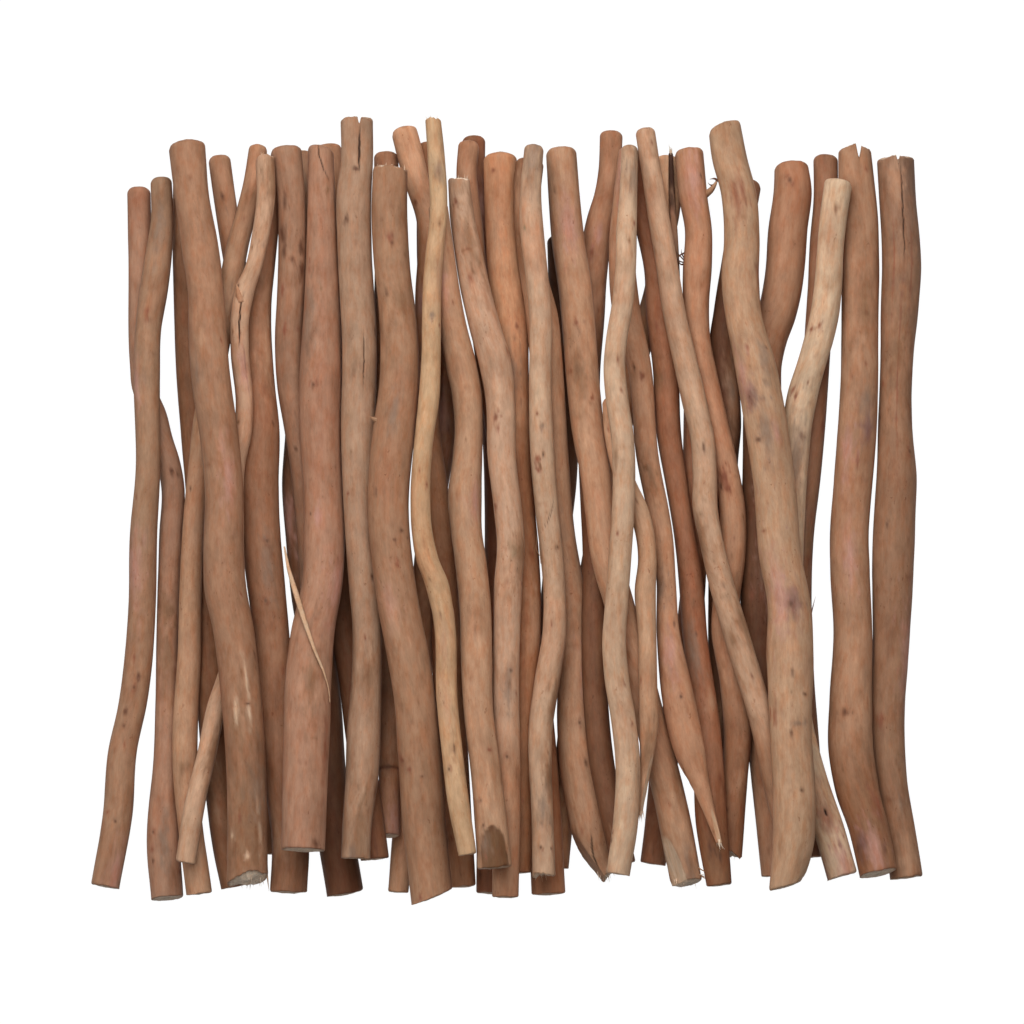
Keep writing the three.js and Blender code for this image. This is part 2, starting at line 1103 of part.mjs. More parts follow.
// ---- the heap ----
const bundle = new THREE.Group();
bundle.name = "bundle_of_twigs";
const down = [];
for (const stick of STICKS) {
  const rows = settle(stick, down);
  down.push(rows);
  const mesh = new THREE.Mesh(stickGeometry(rows, stick), woodMaterial(stick.wood));
  mesh.name = stick.name;
  bundle.add(mesh);
}

// The origin goes under the middle of the heap's box, at floor height.
const box = new THREE.Box3().setFromObject(bundle);
const middle = box.getCenter(new THREE.Vector3());
bundle.position.set(-middle.x, -middle.y, 0);

export default bundle;
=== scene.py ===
"""The looks of a loose bundle of natural twigs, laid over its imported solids.

Every stick is one fine mesh that follows the rings of its own solid: round, slightly lumpy,
with knots, cracks, stains and sawn, broken or whittled ends. Lengths here are millimetres.

A mark's place is (x, y): the spot where a line through it, leaning SLANT off plumb, meets the
floor, measured from a point FLOOR_MIDDLE in the frame.
"""

import itertools
import math

import bpy
import numpy as np
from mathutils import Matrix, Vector


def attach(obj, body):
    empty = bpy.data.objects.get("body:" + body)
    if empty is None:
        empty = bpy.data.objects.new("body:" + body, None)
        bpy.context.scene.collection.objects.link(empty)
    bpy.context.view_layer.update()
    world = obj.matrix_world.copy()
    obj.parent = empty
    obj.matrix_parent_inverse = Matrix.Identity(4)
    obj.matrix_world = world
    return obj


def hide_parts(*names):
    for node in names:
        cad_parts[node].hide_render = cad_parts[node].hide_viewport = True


MM = 0.001
LEAN_DEG = 13.5  # how far the view line leans off plumb
SLANT = math.tan(math.radians(LEAN_DEG))
FLOOR_MIDDLE = (0.06, 5.89)
CORNER = 1.02  # corner radius of the solids' octagons over the stick's own radius
OCTAGON_CORNERS = 8
OCTAGON = CORNER * math.cos(math.pi / OCTAGON_CORNERS)

# vertices round a stick, and the spacing of its rings: deep in the heap, seen, and cracked
MESHES = {"hidden": (28, 2.6), "seen": (42, 1.8), "fine": (80, 1.3)}
TOP_BIAS = 0.55  # how much closer together the vertices are on the upper side
MARK_STEPS = (-1.6, -1.1, -0.7, -0.35, 0.0, 0.35, 0.7, 1.1, 1.6)  # rings over a small mark
SHORT_MARK = 2.5  # marks shorter than this get extra rings
CLOSEST = 0.22  # least spacing of two rings
END_STEPS = (0.0, 0.12, 0.3, 0.6, 1.0, 1.6, 2.4, 3.4)  # ring distances from an end
CAP_SHARES = (0.93, 0.82, 0.68, 0.53, 0.38, 0.22, 0.09)  # rings of a cap, as shares of the rim
END_REACH = 9.0  # how far a torn end's unevenness runs back into the stick, at least
CRACK_DEPTH = 1.1
CRACK_EDGE = 0.62  # half-width of a crack's soft edge over its stated width
THINNEST_CRACK = 0.12
CRACK_WANDER = 0.35  # how far a long crack strays from its straight run
BUMPS = 0.030  # how lumpy a stick is, as a share of its radius
FINE_BUMPS = 0.35  # fine lumps over broad ones
KNOT_STRETCH, KNOT_STAIN = 1.4, 1.5  # length of a knot, and of its stain, over their width
KNOT_SWELLING = (0.45, 1.7)  # height and spread of the raised ring, over the knot's size
KNOT_PIT = (-0.35, 0.5)  # of the pit in its middle
CUT_START = 0.06  # how far off the surface a cut starts, as a share of the radius
CUT_CURVE = 0.8  # 1 for a straight cut, less for one that hollows the stick sooner
SLIMMEST = 0.12  # least share of the radius that cuts leave

# marks strewn at random: kind, mm of stick for each, how far out to the sides as a share of the
# half-width, tints, half-width, half-length over half-width
SCATTER = (
    ("fleck", 45, 0.95, ("red", "dark", "worn", "red"), (0.25, 0.6), (1, 3.5)),
    ("stain", 70, 0.80, ("tan", "pink", "worn", "grey"), (1.2, 3.0), (2, 5)),
)


# ---- light and camera: metres and watts ----
SOFT_BOXES = (
    # name, place, size, power
    ("softbox_over", (-0.30, 0.25, 1.60), 1.6, 18.0),
    ("softbox_left", (-1.60, -0.10, 0.90), 1.2, 9.5),
    ("softbox_right", (1.70, 0.00, 0.80), 1.2, 6.5),
    ("softbox_near", (0.00, -1.80, 0.80), 1.4, 6.0),
    ("softbox_far", (0.00, 0.80, 0.85), 0.9, 10.5),
)
FLOOR_WIDTH = 12.0
FLOOR_GAP = 0.0002
CAMERA_DISTANCE = 16.0
CAMERA_TARGET = (0.00206, -0.00094, 0.025)
SHOWN_WIDTH = 0.4096

# ---- colours: linear albedo ----
WHITE = (1, 1, 1, 1)
NEARLY_BLACK = (0.03, 0.03, 0.03, 1)
TONES = {
    "pale": (0.480, 0.277, 0.172),
    "yellow": (0.470, 0.263, 0.142),
    "tan": (0.405, 0.218, 0.126),
    "grey_tan": (0.372, 0.212, 0.131),
    "pink": (0.412, 0.210, 0.128),
    "orange": (0.410, 0.206, 0.109),
    "brown": (0.362, 0.188, 0.106),
    "weathered": (0.055, 0.023, 0.013),
}
USUAL_TONE = "tan"
FRESH = np.array((0.88, 0.72, 0.56))  # newly cut or torn wood
AGED_END = np.array((0.44, 0.280, 0.175))
# painted shade: the near black laid in the slits of the cracks
CRACK_SHADE = np.array((0.035, 0.018, 0.012))
# painted shade: the tint and fade of the darkening laid on stretches that lie deep between other sticks
PAINTED_SHADE_TINT = np.array((1.0, 0.86, 0.76))  # of wood that lies deep between others
PAINTED_SHADE_FADE = 14.0  # half the length over which a deep stretch darkens
WARMING = np.array((0.0, 0.09, 0.12))  # share of each colour channel that one step of "warm" takes
# slow changes of lightness: most, noise cells to a mm across the stick and along it, seed
LIGHTNESS = ((0.09, 0.05, 0.010, 11), (0.09, 0.17, 0.075, 12), (0.05, 0.55, 0.16, 13))
# slow changes of colour: tint over the tone, most share of it, noise where it starts and is full
REDDER = ((0.98, 0.82, 0.76), 0.70, 0.05, 0.8)
YELLOWER = ((1.02, 1.10, 1.12), 0.60, 0.05, 0.8)
GRIMY = ((0.66, 0.58, 0.52), 0.65, 0.10, 0.8)
DABBED = ((0.62, 0.48, 0.42), 0.55, 0.36, 0.75)
STRENGTHS = {"fleck": 0.95, "stain": 0.80}
STAINS = {
    "red": (0.215, 0.070, 0.038),
    "dark": (0.105, 0.043, 0.024),
    "purple": (0.150, 0.078, 0.074),
    "grey": (0.215, 0.140, 0.098),
    "green": (0.210, 0.160, 0.095),
    "pink": (0.430, 0.220, 0.170),
    "pale": (0.580, 0.410, 0.280),
    "tan": (0.400, 0.220, 0.130),
    "worn": (0.200, 0.100, 0.050),
    "peel": (0.500, 0.330, 0.210),
    "bark": (0.330, 0.185, 0.105),
    "scar": (0.125, 0.056, 0.022),
    "umber": (0.165, 0.093, 0.062),
}


# ---- one row for each stick ----
NEAR, FAR = -200, 200  # places beyond the near and the far edge of the heap
# tone, shade, warm: its colour, how light it is, and how far it leans to red or, below 0, grey;
#   "tan", 1 and 0 where none is given; on sticks deep in the heap a low shade and a red warm
#   are partly painted shade, the rest is the wood's own tone
# mesh: "hidden" for a coarse mesh on a stick that lies deep in the heap
# far, near: the kind of each end, from END_KINDS; else USUAL_END
# overhang, slant: of the near end's face, forwards by height and by the way across
# deep: (upper, lower, share): painted shade; the stretch between two places y, lying deep between other
# sticks, is darkened to that share
# cuts: (end, turn, reach, depth, tint): a flat cut beside an end, facing that many degrees round
# cracks: (width, places that it runs through)
# marks: ("knot", x, y, size), or a fleck, stain or patch as (kind, x, y, half-width, half-length, tint)
# strands: (radius, tint, [(x, y, rise over the stick's axis)]), and a flat one's thickness / radius
STICKS = {
    "stick_01": {
        "tone": "pink", "shade": 0.8, "warm": -0.4, "near": "fresh",
        "marks": [
            ("knot", -141.3, -132.5, 0.7), ("fleck", -141.8, -139.3, 0.9, 1.2, "red"),
            ("fleck", -141.4, -144, 0.5, 0.8, "dark"),
        ],
    },
    "stick_02": {"shade": 1.15, "mesh": "hidden", "deep": [(105, NEAR, 0.52)]},
    "stick_03": {"shade": 0.95, "warm": 0.5, "mesh": "hidden", "deep": [(110, NEAR, 0.85)]},
    "stick_04": {"shade": 0.65, "warm": 0.6, "mesh": "hidden", "deep": [(85, NEAR, 0.6)]},
    "stick_05": {
        "tone": "brown", "shade": 1.1, "warm": 1, "near": "fresh",
        "marks": [("stain", -46, -105.8, 9, 0.7, "dark")],
    },
    "stick_06": {
        "tone": "brown", "shade": 1.35, "warm": -0.2, "mesh": "hidden",
        "deep": [(FAR, -60, 0.6)],
    },
    "stick_07": {"tone": "brown", "shade": 0.66, "warm": 3, "mesh": "hidden"},
    "stick_08": {"shade": 1.5, "warm": -0.6, "mesh": "hidden", "deep": [(112, NEAR, 0.6)]},
    "stick_09": {
        "tone": "brown", "shade": 0.85, "warm": 0.8, "mesh": "hidden",
        "deep": [(100, NEAR, 0.4)],
    },
    "stick_10": {
        "shade": 0.85, "warm": 0.7,
        "deep": [(45, -95, 0.42)],
        "marks": [("knot", 113.5, 135.5, 1.3)],
    },
    "stick_11": {
        "shade": 0.66, "warm": 1.2,
        "marks": [
            ("stain", 128, 57, 1.2, 2.5, "red"), ("stain", 126.5, 35, 1, 2, "red"),
            ("stain", 121.5, -3, 1.2, 2.5, "red"), ("stain", 121, -20, 1, 2.2, "red"),
        ],
    },
    "stick_12": {
        "tone": "brown", "shade": 0.73, "warm": 0.1, "far": "split",
        "cracks": [(0.4, [(158, 146), (158.3, 138), (158.8, 125), (159.2, 112), (159.5, 99)])],
        "marks": [
            ("knot", 161.2, 23.5, 1.1), ("stain", 149.5, -87, 1.2, 3, "red"),
            ("fleck", 155.2, 104, 0.3, 20, "red"), ("fleck", 162.3, 102, 0.3, 16, "red"),
            ("fleck", 156.6, 60, 0.3, 24, "red"), ("stain", 160, -60, 2.5, 12, "pink"),
            ("stain", 161, 142, 11, 30, "umber"),
        ],
    },
    "stick_13": {"shade": 0.9, "warm": 0.8, "mesh": "hidden", "deep": [(112, NEAR, 0.55)]},
    "stick_14": {
        "shade": 0.88, "far": "forked", "near": "fresh",
        "deep": [(-112, NEAR, 0.82)],
        "marks": [
            ("stain", 144, 45, 2.2, 6, "grey"), ("stain", 144.5, 34, 2, 5, "purple"),
            ("stain", 136, 25, 1.6, 8, "pink"), ("fleck", 144, 81, 0.6, 1, "red"),
            ("fleck", 135, -83, 1, 2, "dark"), ("fleck", 140, -138, 1.2, 2.5, "dark"),
            ("stain", 147, -130, 7, 15, "worn"), ("stain", 142, -136, 2.2, 4, "purple"),
            ("stain", 149, -123, 2, 5, "red"), ("fleck", 151, -140, 0.8, 2, "dark"),
            ("fleck", 146, -118, 0.6, 1.6, "red"),
        ],
    },
    "stick_15": {
        "warm": -0.3,
        "marks": [("fleck", -105, 96, 0.5, 2, "red"), ("fleck", -104.5, 92, 0.7, 1.8, "dark")],
    },
    "stick_16": {
        "tone": "brown", "shade": 0.84, "warm": 1,
        "marks": [("knot", -96, -13, 1), ("knot", -96.5, -37, 0.9)],
    },
    "stick_17": {
        "tone": "grey_tan", "shade": 0.78, "warm": 0.9,
        "marks": [
            ("fleck", -89, 127, 0.7, 3.2, "dark"), ("fleck", -90, 114, 1.2, 3.4, "dark"),
            ("fleck", -89, 107, 0.9, 2.8, "dark"), ("fleck", -82.5, 108.5, 1.1, 2.4, "dark"),
            ("fleck", -82.2, 99, 0.9, 3, "dark"), ("fleck", -86, 104, 0.6, 1.6, "dark"),
            ("fleck", -90, 91, 0.6, 2.2, "red"), ("fleck", -89, 75, 0.5, 2.4, "red"),
        ],
    },
    "stick_18": {
        "shade": 1.38, "warm": 0.1,
        "deep": [(112, NEAR, 0.7)],
        "marks": [("fleck", -37, 128, 0.8, 1, "red")],
    },
    "stick_19": {"warm": 0.7, "deep": [(105, NEAR, 0.8)]},
    "stick_20": {
        "tone": "orange", "shade": 1.12, "warm": 0.2,
        "deep": [(20, NEAR, 0.58)],
        "marks": [("fleck", -5.5, 140, 0.8, 1, "red"), ("fleck", 4, 75, 0.6, 1.2, "red")],
    },
    "stick_21": {
        "near": "broken",
        "deep": [(FAR, 90, 0.5)],
        "cuts": [("near", 170, 20, 0.55, "tan")],
        "cracks": [(0.6, [(33.5, -132), (34, -140), (36, -147)])],
        "marks": [("knot", 29, -87.5, 1)],
    },
    "stick_22": {
        "shade": 0.92, "warm": 0.9,
        "deep": [(70, NEAR, 0.42)],
        "marks": [("fleck", 34, 106, 0.8, 1.5, "red")],
    },
    "stick_23": {
        "shade": 1.02, "warm": 0.5, "near": "broken",
        "deep": [(-85, NEAR, 0.65)],
        "marks": [
            ("stain", 86.5, 13, 2.2, 3.2, "red"), ("fleck", 86.5, 14, 1.4, 1.8, "red"),
            ("fleck", 88, 9, 1.1, 1.6, "red"), ("fleck", 85.5, 10.5, 0.7, 1.2, "dark"),
        ],
        "strands": [
            (1.5, "bark", [(79.5, 130, 0), (81.8, 131.8, 2), (83.3, 134, 3), (84.8, 137, 3)]),
            (0.6, "dark", [
                (84.6, 135.5, 3), (83.5, 137, 3.5), (82.2, 136.5, 4), (81.2, 136.4, 4),
            ]),
            (0.3, "dark", [(71, 103, 1), (69.4, 104.6, 2), (67.5, 107, 2.5)]),
            (0.3, "dark", [(71, 102, 1), (69, 102.4, 2), (67.6, 104.5, 2)]),
            (0.3, "dark", [(71, 104, 1), (69.6, 106, 2), (70, 107.5, 3)]),
            (0.4, "dark", [(71.4, 106, 1), (69.2, 105.2, 2), (68.2, 102.8, 3)]),
            (0.4, "dark", [(71.2, 101.5, 1), (69.4, 100.8, 2), (68.8, 103.4, 3)]),
            (0.4, "dark", [(82.6, 134, 2), (81.4, 133.6, 3), (80.6, 135, 3.5)]),
            (0.2, "bark", [(71.5, 101, 3), (72.4, 103, 3.5), (71.4, 105, 3)]),
        ],
    },
    "stick_24": {
        "tone": "brown", "shade": 0.88, "warm": 2,
        "deep": [(-125, NEAR, 0.72)],
        "marks": [
            ("stain", 83, -146, 6, 14, "worn"), ("fleck", 81, -138, 0.8, 2.5, "dark"),
            ("fleck", 85, -143, 0.6, 2, "dark"),
        ],
    },
    "stick_25": {
        "tone": "pale", "shade": 1.12, "warm": -2.2,
        "cracks": [(0.9, [(125, -122.3), (127, -123.2), (128.2, -126)])],
        "marks": [
            ("fleck", 125, 76, 0.6, 1.2, "red"), ("fleck", 121.5, 73.5, 0.8, 0.8, "red"),
            ("fleck", 114.5, 49, 0.8, 1.4, "red"), ("fleck", 115.3, 46.5, 0.5, 0.8, "red"),
            ("stain", 127.5, -126, 3, 6, "red"), ("stain", 124.5, -146, 2, 5, "red"),
            ("fleck", 133, -138, 0.8, 1.2, "dark"),
        ],
    },
    "stick_26": {
        "shade": 0.74, "warm": -0.3,
        "marks": [
            ("knot", -149.2, -73, 0.9), ("fleck", -147.5, -68, 0.7, 1.6, "dark"),
            ("fleck", -152.8, -83.5, 0.7, 1, "dark"), ("fleck", -153.2, -89, 0.5, 0.8, "dark"),
            ("fleck", -159.8, -124.7, 0.6, 0.9, "red"), ("fleck", -156.5, -128, 0.5, 0.7, "dark"),
        ],
    },
    "stick_27": {
        "tone": "pale", "shade": 0.95, "warm": -0.3, "far": "broken",
        "cracks": [(0.6, [(-105.4, 90.5), (-106, 86), (-107, 79), (-107.2, 66)])],
        "marks": [("fleck", -107.9, 91.5, 0.8, 0.9, "dark"), ("fleck", -104.8, 60, 0.25, 5, "dark")],
        "strands": [(2, "tan", [(-106.4, 85.5, 2.4), (-107.6, 90, 3), (-108.4, 93, 3)])],
    },
    "stick_28": {
        "tone": "pink", "shade": 0.8, "warm": -0.2, "near": "fresh", "overhang": 0.14,
        "cracks": [(0.45, [(-76, 152), (-75.5, 146), (-73, 140), (-70.5, 134)])],
        "marks": [
            ("knot", -77.5, 51, 1.2), ("fleck", -76, -135, 1.2, 1.4, "dark"),
            ("stain", -72.5, -98, 0.9, 12, "red"),
        ],
        "strands": [
            (1.5, "peel", [
                (-89, -15, 3), (-87.3, -24, 4.8), (-85, -32, 6.8), (-81, -45, 9.6), (-77, -57, 10.4),
                (-73.2, -66, 8.6), (-71.2, -73, 6), (-70.6, -79, 4.6),
            ], 0.22),
        ],
    },
    "stick_29": {
        "tone": "grey_tan", "shade": 0.92, "warm": -0.5, "far": "split",
        "cracks": [
            (0.8, [(-59, 159), (-58.8, 152), (-59.2, 145), (-58.9, 138)]),
            (0.3, [(-57.5, 73), (-57.2, 62), (-57.6, 50)]),
        ],
        "marks": [("fleck", -64.5, 120, 0.7, 1.4, "dark"), ("fleck", -60.5, 140, 1, 0.7, "dark")],
    },
    "stick_30": {
        "warm": -0.2, "near": "whittled",
        "cuts": [("near", 145, 21, 0.48, "pale")],
        "marks": [
            ("fleck", 28, 76, 0.7, 1, "red"), ("fleck", 25.5, 57, 0.6, 1, "red"),
            ("fleck", 34, 45, 0.7, 0.9, "red"),
        ],
        "strands": [
            (0.3, "bark", [(75, -146, 3), (79, -148.5, 3), (83.5, -148.8, 2)]),
            (0.3, "bark", [(74, -147, 2), (78, -150.5, 2), (81.5, -150, 1)]),
            (0.35, "pale", [(76, -149, 1), (79.5, -151.6, 1), (82.5, -151, 0)]),
            (0.25, "pale", [(73, -148, 3), (76.5, -150, 3), (80, -149.2, 2)]),
        ],
    },
    "stick_31": {
        "warm": 0.5, "near": "whittled",
        "cuts": [("near", 200, 42, 0.5, "tan"), ("near", 60, 16, 0.3, "peel")],
        "cracks": [(0.45, [(68.8, -99), (70.2, -107), (72.6, -114), (74.6, -119)])],
        "marks": [
            ("fleck", 54.5, 55, 0.7, 1, "red"), ("fleck", 51, 59, 0.5, 1, "dark"),
            ("knot", 69.5, -77, 0.9),
        ],
    },
    "stick_32": {
        "shade": 1.1, "warm": -1, "near": "whittled",
        "cuts": [("near", 25, 26, 0.65, "pale")],
    },
    "stick_33": {"tone": "pale", "shade": 0.96, "warm": -0.6, "deep": [(-95, NEAR, 0.72)]},
    "stick_34": {
        "tone": "pale", "shade": 0.94, "warm": -1, "near": "broken",
        "cracks": [(0.25, [(19, 5), (18, 0), (16, -5), (14, -8)])],
        "marks": [
            ("fleck", 14, 35, 1, 1.2, "grey"), ("fleck", 12, 40, 0.6, 1, "red"),
            ("fleck", 12, 22, 0.8, 1.4, "red"), ("fleck", 12.5, 17, 0.6, 1, "red"),
            ("fleck", 7, 116, 0.7, 1.2, "green"), ("knot", 13.5, -138, 0.8),
            ("knot", 17.5, -138.5, 0.7),
        ],
        "strands": [
            (0.13, "bark", [(13.5, -22, 3), (12.8, -14, 4), (13.4, -8, 3)]),
            (0.12, "bark", [(13.8, -20, 4), (11.5, -16, 5), (12.2, -7, 4)]),
            (0.3, "pale", [(14.8, -146, -1), (13.6, -149.5, -1), (14.2, -152.5, -2)]),
            (0.3, "pale", [(12.6, -146, -1), (12.2, -150, -1), (11.2, -152, -2)]),
            (0.3, "pale", [(16, -146, -1), (15.4, -150, -1), (15.8, -152, -2)]),
        ],
    },
    "stick_35": {
        "tone": "pink", "shade": 1.08, "warm": -2, "far": "torn",
        "deep": [(-105, NEAR, 0.86)],
        "marks": [
            ("fleck", -20.5, 127, 0.7, 1.4, "red"), ("fleck", -15.5, 107, 1.2, 0.7, "red"),
            ("stain", -14.5, 95, 1.2, 2.4, "red"), ("fleck", -4.5, 38, 0.8, 1.4, "red"),
            ("fleck", -4.5, 2, 0.8, 1.2, "red"), ("fleck", 0, -29.5, 0.8, 1.4, "red"),
            ("fleck", 6, -30, 0.6, 1, "red"), ("stain", 3, -17.5, 1.4, 2.4, "green"),
            ("knot", 1.5, -66, 1.1), ("knot", 0, -101, 0.9),
        ],
        "strands": [(0.12, "bark", [(5.2, -3, 3.5), (5.6, -10, 4), (7.6, -16, 2.5)])],
    },
    "stick_36": {
        "shade": 0.96, "warm": -0.6,
        "cuts": [("near", 95, 17, 0.22, None)],
        "marks": [
            ("fleck", -7, -99, 0.8, 0.7, "red"), ("fleck", -9.5, -129, 0.5, 0.8, "dark"),
            ("knot", -10.5, -119, 0.8), ("patch", -5, -141, 6.4, 12, "scar"),
        ],
    },
    "stick_37": {
        "shade": 0.76, "warm": 0.4, "near": "torn", "overhang": -0.08,
        "marks": [
            ("stain", -104, -130, 7, 24, "worn"), ("stain", -108, -88, 2, 5, "worn"),
            ("fleck", -104, -69.5, 0.45, 5, "pale"), ("fleck", -108.2, -83, 0.55, 3.4, "pale"),
            ("fleck", -102.8, -82.8, 0.55, 3.6, "pale"), ("fleck", -103.4, -79, 1, 0.4, "dark"),
            ("fleck", -99.6, -119, 0.5, 4, "pale"), ("fleck", -98.5, -134, 0.5, 5.5, "pale"),
            ("fleck", -109.8, -133.5, 0.6, 1.4, "pale"), ("fleck", -103.4, -142.5, 0.7, 1.4, "pale"),
        ],
        "strands": [
            (0.5, "pale", [(-96.5, -146, -2), (-95.6, -151, -2), (-95, -156.5, -3)]),
            (0.3, "pale", [(-99, -148, -4), (-98.6, -152, -5), (-98.9, -154.5, -5)]),
        ],
    },
    "stick_38": {
        "tone": "brown", "shade": 0.86, "warm": -0.3, "far": "broken",
        "marks": [
            ("fleck", -47, 112, 0.7, 1.4, "red"), ("fleck", -46, 110, 0.5, 1, "dark"),
            ("fleck", -42, -8.5, 0.8, 0.8, "dark"), ("fleck", -45, -12, 0.5, 0.7, "dark"),
            ("fleck", -39.5, -12, 0.5, 0.7, "dark"), ("knot", -41.5, -101.5, 1.1),
            ("fleck", -42, -100.6, 0.9, 1.2, "red"), ("fleck", -39, -105, 0.8, 0.8, "red"),
            ("fleck", -34, -108, 0.5, 0.6, "dark"),
        ],
        "strands": [(1.2, "bark", [(-51.8, 36.8, 3), (-53.4, 37.4, 3.5), (-54.8, 38.4, 3.8)])],
    },
    "stick_39": {
        "tone": "yellow", "warm": -1.2, "far": "broken",
        "marks": [
            ("fleck", -30, 80, 0.8, 1, "grey"), ("fleck", -27, 76, 0.5, 0.8, "red"),
            ("knot", -23, -106.5, 0.9),
        ],
    },
    "stick_40": {
        "tone": "pale", "warm": -1.4,
        "marks": [
            ("fleck", 51, 118, 0.6, 1.2, "red"), ("fleck", 44, -10, 0.6, 1, "red"),
            ("fleck", 50, -88, 0.5, 1, "red"), ("knot", 42, -133, 0.7),
            ("fleck", 41.5, -136, 0.6, 0.8, "dark"),
        ],
    },
    "stick_41": {
        "warm": -1.3, "slant": 0.3,
        "cuts": [("near", 5, 5, 0.28, None)],
        "marks": [
            ("stain", 105, 98, 2, 7, "red"), ("stain", 114, -38, 3.2, 5.5, "purple"),
            ("stain", 97, 47, 2.6, 4.6, "purple"), ("stain", 108, 30, 1, 4, "pink"),
            ("stain", 92, 129, 1.6, 6.5, "red"), ("stain", 94.5, 131, 0.8, 4, "red"),
            ("fleck", 97.3, 46.5, 1.6, 2.6, "dark"), ("knot", 104, 65, 0.6),
            ("fleck", 100.5, 29, 1.2, 0.8, "dark"), ("fleck", 102.8, -8.5, 0.8, 0.7, "red"),
            ("fleck", 117.5, -115, 0.7, 0.7, "dark"), ("fleck", 119, -76, 0.8, 0.6, "dark"),
            ("stain", 116.5, -88, 2.4, 1, "grey"), ("stain", 107, -84, 1.4, 3.5, "red"),
            ("fleck", 113.5, -39, 0.9, 1.6, "dark"),
        ],
        "strands": [(0.35, "purple", [(120.8, -46, 0), (121.9, -41, 1), (123.3, -35.5, 1.5)])],
    },
    "stick_42": {
        "tone": "brown", "shade": 0.6, "warm": 0.8, "mesh": "hidden",
        "deep": [(FAR, 60, 0.5)],
    },
    "stick_43": {"tone": "brown", "warm": 2, "mesh": "hidden"},
    "splinter": {"tone": "weathered", "far": "broken", "near": "broken"},
}


# ---- noise ----
def noise(points, seed):
    """Smooth noise from -1 to 1 at each point, one cell to a unit."""
    base = np.floor(points).astype(np.int64)
    part = points - base
    part = part * part * (3 - 2 * part)
    total = np.zeros(len(points))
    for corner in itertools.product((0, 1), repeat=3):
        cell = base + np.array(corner)
        mixed = cell[:, 0] * 374761393 + cell[:, 1] * 668265263 + cell[:, 2] * 40503731
        mixed = (mixed + seed * 97456127) & 0xFFFFFFFF
        mixed = ((mixed ^ (mixed >> 13)) * 1274126177) & 0xFFFFFFFF
        value = ((mixed ^ (mixed >> 16)) & 0xFFFF) / 32767.5 - 1
        weight = np.prod(np.where(np.array(corner) == 1, part, 1 - part), axis=1)
        total += value * weight
    return total


def layered(points, seed):
    """Noise with two layers of finer, weaker noise over it."""
    total = np.zeros(len(points))
    for k in range(3):
        total += noise(points * 2**k + 17.3 * k, seed + k) / 2**k
    return total / 1.75


def smooth_step(low, high, value):
    t = np.clip((value - low) / (high - low), 0, 1)
    return t * t * (3 - 2 * t)


